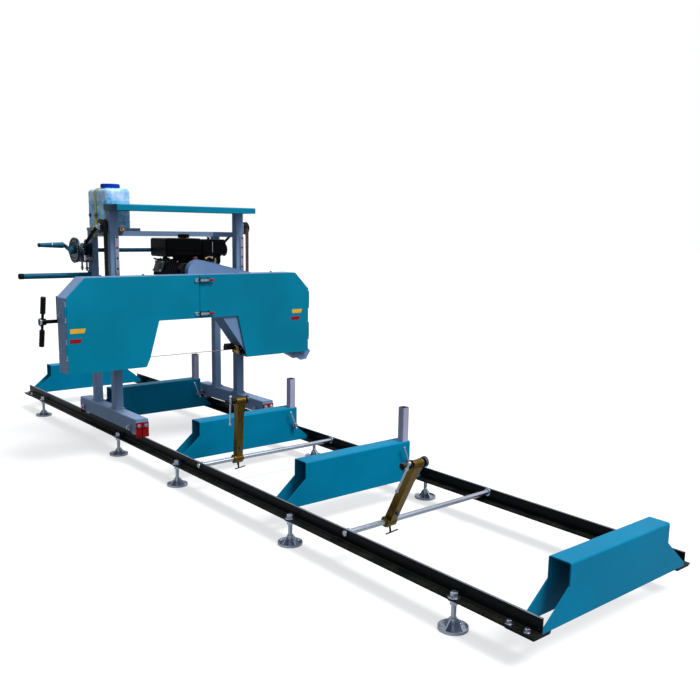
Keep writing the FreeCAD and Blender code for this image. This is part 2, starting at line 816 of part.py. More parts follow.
def cover_outline():
    c = cover_cut
    return [(cover_x0, cover_low), (cover_x0, cover_top - c), (cover_x0 + c, cover_top), (cover_x1 - c, cover_top),
            (cover_x1, cover_top - c), (cover_x1, cover_low), (leg_x1, cover_low), (arch_x1, arch_top), (arch_x0, arch_top),
            (leg_nick_x, leg_nick_z), (leg_x0, cover_low)]


def tray(points, y0, y1, wall, skin):
    """A pressed tray open towards y0 when y1 is its floor."""
    outer = plate(points, "Y", min(y0, y1), max(y0, y1))
    wire = Part.makePolygon([V(u, 0, v) for u, v in points] + [V(points[0][0], 0, points[0][1])])
    inner = Part.Face(wire).makeOffset2D(-wall, join=2)
    if y1 > y0:
        space = moved(inner.extrude(V(0, y1 - skin - y0 + 5, 0)), 0, y0 - 5, 0)
    else:
        space = moved(inner.extrude(V(0, y0 - y1 - skin + 5, 0)), 0, y1 + skin, 0)
    return outer.cut(space)


def case_outline():
    """As the doors, but a slanted wall closes the arch's right corner and carries the guide."""
    pts = cover_outline()
    i = pts.index((arch_x1, arch_top))
    return pts[:i] + [(leg_x1, web_low), (web_x, arch_top)] + pts[i + 1:]


def band_z():
    return saw_z - saw_r - rest_gap - band_t


def cover_case():
    body = tray(case_outline(), case_y0, case_y1, case_t, case_t)
    lap = 14
    web = [(web_x, arch_top + lap), (arch_x1 + lap, arch_top + lap), (leg_x1 + lap, web_low), (leg_x1, web_low),
           (web_x, arch_top)]
    body = body.fuse(plate(web, "Y", case_y0, case_y0 + case_t))
    body = body.cut(rod(saw_shaft + 8, (wheel_x, case_y0, saw_z), (wheel_x, case_y1 + 5, saw_z)))
    slot = box(-wheel_x - 26, -wheel_x + 26 + slide_travel, case_y1 - 10, case_y1 + 5, saw_z - 26, saw_z + 26)
    z = band_z()
    throat = box(leg_x0 - 10, leg_x1 + 10, case_y0 + 12, case_y1 - 12, z - 32, z + 30)
    body = cut(body, [slot, throat])
    for s in (-1, 1):
        x, y = hinge_x(s), hinge_y()
        wall = cover_x0 if s < 0 else cover_x1
        for z in hinge_zs:
            for a, b in ((z - 26, z - hinge_gap), (z + hinge_h + hinge_gap, z + hinge_h + 26)):
                body = body.fuse(rod(hinge_r, (x, y, a), (x, y, b)))
                body = body.fuse(box(x, x - s * hinge_leaf / 2, y, case_y0 + 30, a, b))
                body = body.fuse(box(x - s * hinge_leaf / 2, wall, case_y0 + 0.5, case_y0 + 30, a, b))
    return body.removeSplitter()


def hinge_x(side):
    return cover_x0 - hinge_r - hinge_gap if side < 0 else cover_x1 + hinge_r + hinge_gap


def hinge_y():
    return case_y0 - rest_gap - hinge_r


def door(side):
    pts = cover_outline()
    y0, y1 = cover_y, case_y0 - rest_gap
    edge = split_x + side * split_gap / 2
    low, high = (cover_x0 - 1, edge) if side < 0 else (edge, cover_x1 + 1)
    whole = plate(pts, "Y", y0, y1).common(box(low, high, y0, y1, 0, cover_top + 1))
    front = [f for f in whole.Faces if abs(f.normalAt(0, 0).y) > 0.99 and abs(f.CenterOfMass.y - y0) < 0.1][0]
    space = moved(front.makeOffset2D(-door_t, join=2).extrude(V(0, door_d + 5, 0)), 0, door_t, 0)
    body = whole.cut(space)
    x, y = hinge_x(side), hinge_y()
    wall = cover_x0 if side < 0 else cover_x1
    for z in hinge_zs:
        body = body.fuse(rod(hinge_r, (x, y, z), (x, y, z + hinge_h)))
        body = body.fuse(box(x, wall - side * door_t, y - hinge_leaf / 2, y + hinge_leaf / 2, z, z + hinge_h))
    for z in latch_zs:
        if side < 0:
            body = body.fuse(box(split_x - 32, split_x - 5, y0 - 4, y0, z - 8, z + 8))
            body = body.fuse(rod(3.5, (split_x - 12, y0 - 6, z - 8), (split_x - 12, y0 - 6, z + 8)))
        else:
            px, py = latch_pin()
            body = body.fuse(box(px + 9, px + 38, y0 - 4, y0, z - 12, z + 12))
            body = body.fuse(rod(latch_r, (px, py, z - 12), (px, py, z + 12)))
            for k in (-1, 1):
                body = body.fuse(box(px - 4, px + 38, py - 4, y0, z + k * 12, z + k * 10))
    return body.removeSplitter()


def latch_pin():
    return split_x + 8, cover_y - 12


def latch(z):
    """A lever on the pin of its bracket: its short nose reaches over the split to the keeper."""
    x, y = latch_pin()
    body = rod(latch_r + 3, (x, y, z - 9.5), (x, y, z + 9.5))
    body = body.fuse(box(x - latch_nose, x, y - 3, y + 3, z - 7, z + 7))
    body = body.fuse(box(x, x + latch_len, y - 3, y + 1, z - 7, z + 7))
    body = body.fuse(box(x + latch_len - latch_grip, x + latch_len, y - 6, y - 2, z - 6, z + 6))
    return body.cut(rod(latch_r + run_gap, (x, y, z - 10), (x, y, z + 10))).removeSplitter()


def saw_wheel(x):
    w = saw_w / 2
    body = rod(saw_r, (x, saw_y - w, saw_z), (x, saw_y + w, saw_z))
    for s in (-1, 1):
        body = body.cut(rod(saw_r - saw_rim, (x, saw_y + s * saw_web / 2, saw_z), (x, saw_y + s * (w + 1), saw_z)))
    for i in range(5):
        a = math.radians(72 * i + 18)
        cx, cz = x + 132 * math.cos(a), saw_z + 132 * math.sin(a)
        body = body.cut(rod(48, (cx, saw_y - 20, cz), (cx, saw_y + 20, cz)))
    body = body.fuse(rod(saw_hub, (x, saw_y - w - 4, saw_z), (x, saw_y + w + 4, saw_z)))
    return body


def drive_wheel():
    body = saw_wheel(wheel_x)
    body = body.fuse(rod(saw_shaft, (wheel_x, saw_y - 30, saw_z), (wheel_x, spine_y1 + 26, saw_z)))
    y = pulley_y_mid()
    pulley = rod(drive_r, (wheel_x, y - drive_w / 2, saw_z), (wheel_x, y + drive_w / 2, saw_z))
    for i in range(5):
        a = math.radians(72 * i + 18)
        x, z = wheel_x + 112 * math.cos(a), saw_z + 112 * math.sin(a)
        pulley = pulley.cut(rod(44, (x, y - drive_w, z), (x, y + drive_w, z)))
    pulley = pulley.cut(belt_groove(drive_r, wheel_x, saw_z))
    return body.fuse(pulley).removeSplitter()


def idler_wheel():
    body = saw_wheel(-wheel_x)
    return body.cut(rod(saw_shaft + run_gap, (-wheel_x, saw_y - 60, saw_z), (-wheel_x, saw_y + 60, saw_z))).removeSplitter()


def stadium(r, y0, y1):
    body = rod(r, (-wheel_x, y0, saw_z), (-wheel_x, y1, saw_z))
    body = body.fuse(rod(r, (wheel_x, y0, saw_z), (wheel_x, y1, saw_z)))
    return body.fuse(box(-wheel_x, wheel_x, y0, y1, saw_z - r, saw_z + r)).removeSplitter()


def saw_band():
    y0, y1 = saw_y - band_w / 2, saw_y + band_w / 2
    return stadium(saw_r + rest_gap + band_t, y0, y1).cut(stadium(saw_r + rest_gap, y0 - 1, y1 + 1))


def head_frame():
    """A box spine behind the case, with sleeves that slide on the front posts and a deck for the engine."""
    t, g = spine_t, slide_gap
    body = box(-spine_x, spine_x, spine_y0, spine_y1, spine_z0, spine_z1)
    body = body.cut(box(-spine_x - 1, spine_x + 1, spine_y0 + t, spine_y1 - t, spine_z0 + t, spine_z1 - t))
    spots = [(-spine_x, -spine_x + 34), (-190, -60), (spine_x - 34, spine_x)]
    for x0, x1 in spots:
        body = body.fuse(box(x0, x1, case_y1, spine_y0, spine_z0 + 14, spine_z1 - 10))
    half = post_w / 2
    for s in (-1, 1):
        x = s * post_x
        collar = box(x - half - collar_t, x + half + collar_t, spine_y1, post_y + half + collar_t + g, collar_z0, collar_z1)
        space = box(x - half - g, x + half + g, post_y - half - strip_t - g, post_y + half + g, collar_z0 - 1, collar_z1 + 1)
        body = body.fuse(collar.cut(space))
        lug_y = pulley_y - pulley_r
        a, b = s * (post_x + half + collar_t), s * (pulley_x + strap_w / 2 + 2)
        body = body.fuse(box(a, b, lug_y - 12, lug_y + 16, collar_z1 - lug_t, collar_z1 - rest_gap))
    bore = rod(saw_shaft + run_gap, (wheel_x, spine_y0 - 20, saw_z), (wheel_x, spine_y1 + 60, saw_z))
    body = body.fuse(rod(38, (wheel_x, spine_y0 - 2, saw_z), (wheel_x, spine_y1 + 22, saw_z))).cut(bore)
    body = body.fuse(box(deck_x0, deck_x1, spine_y0, deck_y1, spine_z1, spine_z1 + deck_t))
    brace = [(spine_y1, spine_z0 + 20), (deck_y1 - 8, spine_z1 - 26), (deck_y1 - 8, spine_z1), (spine_y1, spine_z1)]
    for x in (deck_x0 + 16, deck_x1 - 24):
        body = body.fuse(plate(brace, "X", x, x + 8))
    k = slide_h / 2
    guide = box(-wheel_x - 130, -wheel_x + 75, case_y1, spine_y0, saw_z - k - 10, saw_z + k + 10)
    guide = guide.cut(box(-wheel_x - 200, -wheel_x + 200, case_y1 - 1, spine_y0 - 8, saw_z - k - g, saw_z + k + g))
    x0, x1 = cover_x0 + 30, cover_x0 + 46
    bracket = box(x0, x1, case_y1, spine_y0, saw_z - 30, spine_z0 + 40)
    bracket = bracket.cut(rod(screw_r1 + run_gap, (x0 - 5, handle_y, saw_z), (x1 + 5, handle_y, saw_z)))
    return body.fuse(guide).fuse(bracket).removeSplitter()


def tension_slide():
    """The block that carries the idler's stub shaft and slides along the spine."""
    y0, y1 = case_y1 + 1, spine_y0 - 8 - slide_gap
    k = slide_h / 2
    body = box(-wheel_x - slide_w / 2, -wheel_x + slide_w / 2, y0, y1, saw_z - k, saw_z + k)
    body = body.fuse(rod(saw_shaft, (-wheel_x, saw_y - 36, saw_z), (-wheel_x, y0 + 5, saw_z)))
    body = body.fuse(rod(saw_shaft + 8, (-wheel_x, saw_y + saw_w / 2 + 4 + rest_gap, saw_z), (-wheel_x, y0 + 2, saw_z)))
    body = body.fuse(rod(saw_shaft + 9, (-wheel_x, saw_y - 36, saw_z), (-wheel_x, saw_y - saw_w / 2 - 4 - rest_gap, saw_z)))
    bore = rod(screw_r1 + run_gap, (-wheel_x - slide_w, handle_y, saw_z), (-wheel_x + slide_travel + 2, handle_y, saw_z))
    return body.removeSplitter().cut(bore)


def tension_handle():
    x, h = -handle_at, handle_hub_w / 2
    body = rod(screw_r1, (-wheel_x, handle_y, saw_z), (x, handle_y, saw_z))
    body = body.fuse(rod(handle_hub_r, (x - h, handle_y, saw_z), (x + h, handle_y, saw_z)))
    bar = rod(8, (x, handle_y, saw_z - handle_bar / 2), (x, handle_y, saw_z + handle_bar / 2))
    for s in (-1, 1):
        bar = bar.fuse(rod(14, (x, handle_y, saw_z + s * (handle_bar / 2 - 98)), (x, handle_y, saw_z + s * handle_bar / 2)))
    body = body.fuse(turned(bar, (x, handle_y, saw_z), (1, 0, 0), handle_lean))
    return body.removeSplitter()


def right_guide():
    """A hanger that comes out through the slanted wall, with a guide block beside the band and two roller pins."""
    z, y = band_z(), guide_y()
    top, low = z + roller_r + 9, z - roller_r - 10
    x = roller_x()
    body = box(x - 83, x + 31, y, y + 12, z - 4, top)
    body = body.fuse(box(x - 16, x + 16, y, y + 12, low, z))
    body = body.fuse(box(x + 13, x + 31, y, y + 12, z - 4, z + 48))
    body = body.fuse(box(x + 13, x + 31, y + 1, case_y1 - case_t, z + 22, z + 48))
    body = body.fuse(box(x - 83, x - 26, saw_y - 12, y + 6, z + band_t + 5, z + 38))
    body = body.fuse(box(x + 20, x + 34, saw_y - 10, y + 12, low - 6, z - 8))
    body = body.fuse(box(x, x + 34, y, y + 12, low - 6, z - 8))
    for r_z in roller_zs():
        body = body.fuse(rod(5, (x, saw_y - 14, r_z), (x, y + 2, r_z)))
    return body.removeSplitter()


def guide_y():
    return saw_y + band_w / 2 + 6


def roller_x():
    return leg_x1 - 36


def roller_zs():
    z = band_z() + band_t / 2
    gap = roller_r + band_t / 2 + 0.5
    return z + gap, z - gap


def guide_roller(z):
    x = roller_x()
    body = rod(roller_r, (x, saw_y - 12, z), (x, guide_y() - 1, z))
    return body.cut(rod(5 + run_gap, (x, saw_y - 20, z), (x, saw_y + 40, z)))


def left_guide():
    """Inside the idler's leg: a bent hanger from the back wall with fixed pads above and below the band."""
    z, y = band_z(), guide_y()
    x0, x1 = leg_x0 - 46, leg_x0 - 8
    body = box(x0, x1, y, y + 10, z - 28, z + 120)
    body = body.fuse(box(x0, x1, y, case_y1 - case_t, z + 104, z + 120))
    for r_z in roller_zs():
        body = body.fuse(rod(roller_r, (x0 + 20, saw_y - 10, r_z), (x0 + 20, y + 2, r_z)))
    return body.removeSplitter()


def guard_hull(grow, y0, y1):
    return two_circles(engine_pulley_r + 24 + grow, drive_r + 36 + grow, y0, y1)


def belt_guard():
    body = guard_hull(0, guard_y0, guard_y1).cut(guard_hull(-guard_t, guard_y0 - 1, guard_y1 - guard_t))
    body = body.cut(rod(saw_shaft + 6, (wheel_x, guard_y0, saw_z), (wheel_x, guard_y1 + 5, saw_z)))
    return body.cut(rod(22, (crank_x, guard_y1 - 10, crank_z), (crank_x, guard_y1 + 10, crank_z)))


def pulley_y_mid():
    return (guard_y0 + guard_y1) / 2


def belt_groove(r, x, z):
    y, h = pulley_y_mid(), groove_h
    ring = rod(r + 1, (x, y - h, z), (x, y + h, z))
    return ring.cut(rod(r - groove_d, (x, y - h - 1, z), (x, y + h + 1, z)))


def engine_pulley():
    y = pulley_y_mid()
    body = rod(engine_pulley_r, (crank_x, y - drive_w / 2, crank_z), (crank_x, y + drive_w / 2, crank_z))
    body = body.cut(belt_groove(engine_pulley_r, crank_x, crank_z))
    return body.fuse(rod(engine_shaft_r, (crank_x, y, crank_z), (crank_x, block_y0 + 30, crank_z))).removeSplitter()


def belt_hull(inset, y0, y1):
    """The region inside a belt that runs round both pulleys, inset from their rims."""
    return two_circles(engine_pulley_r - inset, drive_r - inset, y0, y1)


def two_circles(r0, r1, y0, y1):
    dx, dz = wheel_x - crank_x, saw_z - crank_z
    turn = math.acos((r0 - r1) / math.hypot(dx, dz))
    body = rod(r0, (crank_x, y0, crank_z), (crank_x, y1, crank_z))
    body = body.fuse(rod(r1, (wheel_x, y0, saw_z), (wheel_x, y1, saw_z)))
    pts = []
    for s in (1, -1):
        a = math.atan2(dz, dx) + s * turn
        near = (crank_x + r0 * math.cos(a), crank_z + r0 * math.sin(a))
        far = (wheel_x + r1 * math.cos(a), saw_z + r1 * math.sin(a))
        pts += [near, far] if s > 0 else [far, near]
    return body.fuse(plate(pts, "Y", y0, y1)).removeSplitter()


def drive_belt():
    y, h = pulley_y_mid(), groove_h - rest_gap
    return belt_hull(-1, y - h, y + h).cut(belt_hull(groove_d - rest_gap, y - h - 1, y + h + 1))


def sawdust_chute():
    """A bent duct under the right door's corner that throws the dust out to the right and down."""
    z, t = cover_low, chute_t
    tail, lip, heel = chute_x0, cover_x1 + chute_heel, cover_x1 - chute_mouth
    outline = [(tail, z), (lip, z + chute_rise), (chute_x1, z - 2 * t), (lip - t, z - chute_drop),
               (heel, z - chute_drop - t), (tail, z - chute_floor)]
    body = plate(outline, "Y", case_y0 + chute_inset, case_y1 - chute_inset)
    space = [(tail + 7 * t, z + t / 3), (lip - 4 * t, z + chute_rise / 2), (chute_x1 - 5 * t, z - 4 * t),
             (lip - 2 * t, z - chute_drop - 6 * t), (heel + t, z - chute_drop - 6 * t), (tail + 7 * t, z - chute_floor + t)]
    body = body.cut(plate(space, "Y", case_y0 + chute_inset + t, case_y1 - chute_inset - t))
    return body.cut(box(tail - 10, cover_x1, case_y0 - 20, case_y1 + 20, z, z + 60))


def engine_block():
    """Crankcase, starter housing, finned barrel lying back to the left, silencer and carburettor in one casting,
    and the air filter's box beside the tank."""
    body = fuse([crankcase(), starter_housing(), finned_barrel(), tank_stand(), silencer(), carburettor()])
    shaft_hole = rod(engine_shaft_r + run_gap, (crank_x, block_y0 - 20, crank_z), (crank_x, block_y0 + 31, crank_z))
    below_deck = box(fuel_x0 - 200, filter_x1 + 200, spine_y0, block_y1 + 50, spine_z0, deck_top)
    body = cut(body, [shaft_hole, below_deck])
    return Part.makeCompound([body.removeSplitter(), filter_box()])


def crankcase():
    """A cast case on a foot flange, its shoulders sloped, with a cover round the shaft."""
    x0, x1, y0, y1, z = block_x0, block_x1, block_y0, block_y1 - shroud_d / 3, deck_top
    outline = [(x0, z), (x1, z), (x1, z + case_h - case_slope), (x1 - case_slope, z + case_h), (x0 + case_slope, z + case_h),
               (x0, z + case_h - case_slope)]
    body = plate(outline, "Y", y0, y1)
    body = body.makeFillet(14, [e for e in body.Edges if abs(e.tangentAt(e.FirstParameter).y) > 0.9
                                and e.BoundBox.ZMin > z + 9])
    flange = box(x0 - flange_lap, x1 + flange_lap, y0, y1, z, z + flange_t)
    flange = flange.makeFillet(10, [e for e in flange.Edges if abs(e.tangentAt(e.FirstParameter).z) > 0.9])
    oil_neck = rod(11, (x0 + 20, y0 + 34, z + 40), (x0 - 16, y0 + 34, z + 56))
    return fuse([body, flange, oil_neck])


def starter_housing():
    """A domed round shell at the back with a ring of slots and a raised middle."""
    x, z, r = crank_x + 12, crank_z + 2, shroud_r
    y0, y1 = block_y1 - shroud_d, block_y1
    edge = shroud_dome
    profile = [V(x, y0, z), V(x + r, y0, z), V(x + r, y1 - edge, z), V(x + r - edge, y1, z), V(x, y1, z), V(x, y0, z)]
    body = Part.Face(Part.makePolygon(profile)).revolve(V(x, 0, z), V(0, 1, 0), 360)
    body = body.makeFillet(8, [e for e in body.Edges if abs(e.BoundBox.YMin - (y1 - edge)) < 0.5 and len(e.Vertexes) < 3
                               and e.BoundBox.YLength < 0.5])
    slot = box(x + r * 0.38, x + r * 0.74, y1 - 4, y1 + 1, z - 3, z + 3)
    slots = [turned(slot, (x, 0, z), (0, 1, 0), 360 / shroud_slots * i) for i in range(shroud_slots)]
    return cut(body, slots)


def finned_barrel():
    """The barrel with its cooling fins, tipped back about the case's left side."""
    x, z = block_x0, deck_top + 116
    y0, y1 = block_y0 + 42, block_y1 - 66
    barrel = box(x - fin_reach - 6, x + 20, y0, y1, z - 42, z + 42)
    shapes = [barrel]
    for i in range(fin_count):
        a = x - fin_reach + fin_pitch * i
        fin = box(a, a + fin_t, y0 - fin_lap, y1 + fin_lap, z - 42 - fin_lap, z + 42 + fin_lap)
        shapes.append(fin.makeFillet(10, [e for e in fin.Edges if abs(e.tangentAt(e.FirstParameter).x) > 0.9]))
    return turned(fuse(shapes), (x, 0, z), (0, 1, 0), barrel_tip)


def tank_stand():
    return box(block_x0 + 40, block_x1 - 66, block_y0 + 60, block_y1 - 60, deck_top + case_h - 15, fuel_z0)


def silencer():
    """A pressed can with rounded shells and an outlet that points back."""
    x0, x1, y0, y1 = block_x1 - 10, block_x1 + 120, block_y1 - 130, block_y1 - 20
    z0, z1 = deck_top + 70, deck_top + 160
    can = box(x0, x1, y0, y1, z0, z1)
    can = can.makeFillet(18, [e for e in can.Edges if abs(e.tangentAt(e.FirstParameter).x) > 0.9])
    spout = rod(13, (x1 - 30, y1 - 10, z0 + 28), (x1 - 30, y1 + 22, z0 + 28))
    return can.fuse(spout.cut(rod(10, (x1 - 30, y1 + 2, z0 + 28), (x1 - 30, y1 + 23, z0 + 28))))


def carburettor():
    """An upright body with its round float bowl below."""
    x0, x1, y0, y1 = block_x1 - 10, block_x1 + 70, block_y0 + 40, block_y0 + 96
    mid, z = (y0 + y1) / 2, deck_top + 110
    body = box(x0, x1, y0 + 8, y1 - 8, z, deck_top + filter_low)
    return body.fuse(rod(bowl_r, (x1 - bowl_r, mid, z - 34), (x1 - bowl_r, mid, z + 12)))


def filter_box():
    """The air filter's box with rounded top, a seam above its base and a knob."""
    x0, x1, y0, y1 = fuel_x1 + 2, filter_x1, fuel_y0 + 6, fuel_y1 - 70
    z0, z1 = deck_top + filter_low, fuel_z1 - 6
    body = box(x0, x1, y0, y1, z0, z1)
    body = body.makeFillet(18, [e for e in body.Edges if e.BoundBox.ZMax > z0 + 1])
    seam = box(x0 - 1, x1 + 1, y0 - 1, y1 + 1, z0 + 26, z0 + 29)
    core = box(x0 + 2, x1 - 2, y0 + 2, y1 - 2, z0 + 20, z0 + 40)
    core = core.makeFillet(16, [e for e in core.Edges if abs(e.tangentAt(e.FirstParameter).z) > 0.9])
    knob = rod(9, ((x0 + x1) / 2, (y0 + y1) / 2, z1 - 2), ((x0 + x1) / 2, (y0 + y1) / 2, z1 + 12))
    return body.cut(seam.cut(core)).fuse(knob).removeSplitter()


def engine_fuel_tank():
    body = box(fuel_x0, fuel_x1, fuel_y0, fuel_y1, fuel_z0, fuel_z1)
    body = body.makeFillet(fuel_r, body.Edges)
    lip = box(fuel_x0 - 5, fuel_x1 + 1, fuel_y0 - 5, fuel_y1 + 5, fuel_z0 + fuel_seam, fuel_z0 + fuel_seam + 4)
    lip = lip.makeFillet(fuel_r, [e for e in lip.Edges if abs(e.tangentAt(e.FirstParameter).z) > 0.9])
    neck = rod(fuel_neck_r, (fuel_cap_x, fuel_cap_y, fuel_z1 - 6), (fuel_cap_x, fuel_cap_y, fuel_z1 + 8))
    w = fuel_wall
    space = box(fuel_x0 + w, fuel_x1 - w, fuel_y0 + w, fuel_y1 - w, fuel_z0 + w, fuel_z1 - w)
    space = space.makeFillet(fuel_r - w, space.Edges)
    mouth = rod(fuel_neck_r - 4, (fuel_cap_x, fuel_cap_y, fuel_z1 - 20), (fuel_cap_x, fuel_cap_y, fuel_z1 + 9))
    return cut(fuse([body, lip, neck]), [space, mouth])


def fuel_cap():
    z = fuel_z1 + 2
    body = rod(fuel_cap_r, (fuel_cap_x, fuel_cap_y, z), (fuel_cap_x, fuel_cap_y, z + fuel_cap_h))
    body = body.makeFillet(5, [e for e in body.Edges if e.BoundBox.ZMin > z + fuel_cap_h - 1])
    return body.cut(rod(fuel_neck_r + run_gap, (fuel_cap_x, fuel_cap_y, z - 1), (fuel_cap_x, fuel_cap_y, z + 6 + rest_gap)))


def build():
    p = {}
    p["rails"] = Part.makeCompound([rail(-1), rail(1)])
    for i, y in enumerate(bunk_ys):
        p["bunk_%d" % (i + 1)] = bunk(y, i in (1, 2, 3))
    p["clamp_rods"] = clamp_rods()
    p["levelling_feet"] = feet()
    for i in (1, 2, 3):
        p["stop_post_%d" % i] = stop_post(bunk_ys[i])
        p["stop_screw_%d" % i] = stop_screw(bunk_ys[i])
    for i in (0, 1):
        p["clamp_collar_%d" % (i + 1)] = clamp_collar(i)
        p["clamp_arm_%d" % (i + 1)] = clamp_arm(i)
        p["clamp_spindle_%d" % (i + 1)] = clamp_spindle(i)
        p["clamp_handle_%d" % (i + 1)] = clamp_handle(i)
    p["carriage_beams"] = Part.makeCompound([carriage_beam(-1), carriage_beam(1)])
    p["front_wheels"] = track_wheels(axle_ys[0])
    p["rear_wheels"] = track_wheels(axle_ys[1])
    p["rail_scrapers"] = scrapers()
    p["front_posts"] = Part.makeCompound([fuse([a, b]) for a, b in zip(front_posts(), pulley_pins())])
    p["rear_frame"] = Part.makeCompound(rear_posts() + mast_bars() + [tank_tray()])
    p["top_beam"] = top_beam()
    p["water_tank"] = water_tank()
    p["tank_cap"] = tank_cap()
    p["tank_strap"] = tank_strap()
    p["push_handle"] = push_handle()
    p["winch_frame"] = winch_frame()
    p["winch_drum"] = winch_drum()
    p["winch_crank"] = winch_crank()
    p["lift_pulleys"] = lift_pulleys()
    p["winch_straps"] = winch_straps()
    p["lift_straps"] = lift_straps()
    p["head_frame"] = head_frame()
    p["cover_case"] = cover_case()
    p["left_door"] = door(-1)
    p["right_door"] = door(1)
    p["upper_latch"] = latch(latch_zs[0])
    p["lower_latch"] = latch(latch_zs[1])
    p["drive_wheel"] = drive_wheel()
    p["idler_wheel"] = idler_wheel()
    p["saw_band"] = saw_band()
    p["tension_slide"] = tension_slide()
    p["tension_handle"] = tension_handle()
    p["band_guides"] = Part.makeCompound([left_guide(), right_guide()])
    p["upper_roller"] = guide_roller(roller_zs()[0])
    p["lower_roller"] = guide_roller(roller_zs()[1])
    p["belt_guard"] = belt_guard()
    p["engine_pulley"] = engine_pulley()
    p["drive_belt"] = drive_belt()
    p["sawdust_chute"] = sawdust_chute()
    p["engine_block"] = engine_block()
    p["engine_fuel_tank"] = engine_fuel_tank()
    p["fuel_cap"] = fuel_cap()
    return p


def shift_x():
    return (handle_at + handle_hub_w / 2 - chute_x1) / 2


parts = build()
for name, shape in parts.items():
    s = moved(shape, shift_x(), 0, 0)
    s.exportStep("parts/%s.step" % name)
    print(name, len(s.Solids), s.isValid(), [round(v, 1) for v in (s.BoundBox.XMin, s.BoundBox.XMax, s.BoundBox.YMin,
          s.BoundBox.YMax, s.BoundBox.ZMin, s.BoundBox.ZMax)])
print(len(parts), "nodes, shift", shift_x())
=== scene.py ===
import bpy, json, math
from mathutils import Matrix, Vector


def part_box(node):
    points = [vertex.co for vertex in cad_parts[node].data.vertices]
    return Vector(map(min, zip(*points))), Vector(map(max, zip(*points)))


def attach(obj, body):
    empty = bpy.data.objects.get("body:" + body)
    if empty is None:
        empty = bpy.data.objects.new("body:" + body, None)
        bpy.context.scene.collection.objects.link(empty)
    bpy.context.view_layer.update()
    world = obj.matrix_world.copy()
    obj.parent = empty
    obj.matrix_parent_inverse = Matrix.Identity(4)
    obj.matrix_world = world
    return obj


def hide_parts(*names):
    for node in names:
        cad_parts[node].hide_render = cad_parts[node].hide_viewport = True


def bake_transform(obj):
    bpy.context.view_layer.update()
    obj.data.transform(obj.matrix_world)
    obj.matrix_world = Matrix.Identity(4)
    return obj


# A portable band sawmill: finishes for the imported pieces, and the small pieces around them.
# All sizes are in metres.

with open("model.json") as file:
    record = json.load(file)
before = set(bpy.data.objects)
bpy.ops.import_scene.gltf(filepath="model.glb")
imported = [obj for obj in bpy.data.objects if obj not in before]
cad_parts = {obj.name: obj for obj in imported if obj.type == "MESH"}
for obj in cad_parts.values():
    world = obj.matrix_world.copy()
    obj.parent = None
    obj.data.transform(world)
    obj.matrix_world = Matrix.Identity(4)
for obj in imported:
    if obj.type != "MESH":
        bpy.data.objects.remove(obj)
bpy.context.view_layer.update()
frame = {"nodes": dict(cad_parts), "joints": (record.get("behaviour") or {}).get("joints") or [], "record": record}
nodes = frame["nodes"]
turns_at = {j["name"]: Vector(j["pos_m"]) for j in frame["joints"] if "pos_m" in j}


# Places and sizes that several pieces share

def low(node):
    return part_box(node)[0]


def high(node):
    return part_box(node)[1]


def middle(node):
    return (low(node) + high(node)) / 2


# Modelling helpers

def clear_selection():
    bpy.ops.object.select_all(action="DESELECT")


def hold(piece):
    """Leaves only this piece selected, for the next operator."""
    clear_selection()
    piece.select_set(True)
    bpy.context.view_layer.objects.active = piece


def open_to_edit(piece, items, chosen):
    """Opens the piece in edit mode with only the chosen ones of its corners or faces selected."""
    hold(piece)
    bpy.ops.object.mode_set(mode="EDIT")
    bpy.ops.mesh.select_all(action="DESELECT")
    bpy.ops.object.mode_set(mode="OBJECT")
    for item in items:
        item.select = chosen(item)
    bpy.ops.object.mode_set(mode="EDIT")


def close_outwards():
    """Turns every face of the open piece outwards and leaves edit mode."""
    bpy.ops.mesh.select_all(action="SELECT")
    bpy.ops.mesh.normals_make_consistent(inside=False)
    bpy.ops.object.mode_set(mode="OBJECT")


def tidy_added(name):
    piece = bpy.context.object
    bpy.ops.object.transform_apply(location=True, rotation=True, scale=True)
    piece.name = piece.data.name = name
    return piece


def block(name, corner, far_corner):
    """A block between two corners, ready to be shaped."""
    a, b = Vector(corner), Vector(far_corner)
    clear_selection()
    bpy.ops.mesh.primitive_cube_add(size=1, location=(a + b) / 2)
    bpy.context.object.scale = [abs(v) for v in b - a]
    return tidy_added(name)


def bar(name, start, end, radius, sides=24):
    """A round bar between two points."""
    a, b = Vector(start), Vector(end)
    clear_selection()
    bpy.ops.mesh.primitive_cylinder_add(vertices=sides, radius=radius, depth=(b - a).length,
                                        location=(a + b) / 2,
                                        rotation=(b - a).to_track_quat("Z", "Y").to_euler())
    return tidy_added(name)


def ring(name, centre, axis, radius, thickness, sides=48, tube_sides=10):
    clear_selection()
    bpy.ops.mesh.primitive_torus_add(major_segments=sides, minor_segments=tube_sides, major_radius=radius,
                                     minor_radius=thickness, location=centre,
                                     rotation=Vector(axis).to_track_quat("Z", "Y").to_euler())
    return tidy_added(name)


def soften(piece, width, steps=2, angle=40):
    """Rounds the edges and smooths what is round."""
    hold(piece)
    m = piece.modifiers.new("edge", "BEVEL")
    m.width, m.segments, m.limit_method, m.angle_limit = width, steps, "ANGLE", math.radians(angle)
    bpy.ops.object.modifier_apply(modifier=m.name)
    bpy.ops.object.shade_smooth_by_angle(angle=math.radians(35))
    return piece


def joined(name, pieces):
    clear_selection()
    for p in pieces:
        p.select_set(True)
    bpy.context.view_layer.objects.active = pieces[0]
    if len(pieces) > 1:
        bpy.ops.object.join()
    pieces[0].name = pieces[0].data.name = name
    return pieces[0]


def copied(piece, matrix):
    """A copy with its own mesh, carried to its place by a matrix."""
    twin = piece.copy()
    twin.data = piece.data.copy()
    twin.data.transform(matrix)
    bpy.context.scene.collection.objects.link(twin)
    return twin


def placed(piece, spots):
    """The piece made at the origin, repeated at each place and joined."""
    twins = [copied(piece, m) for m in spots]
    name = piece.name
    bpy.data.objects.remove(piece)
    return joined(name, twins)


def shift(x, y, z):
    return Matrix.Translation((x, y, z))


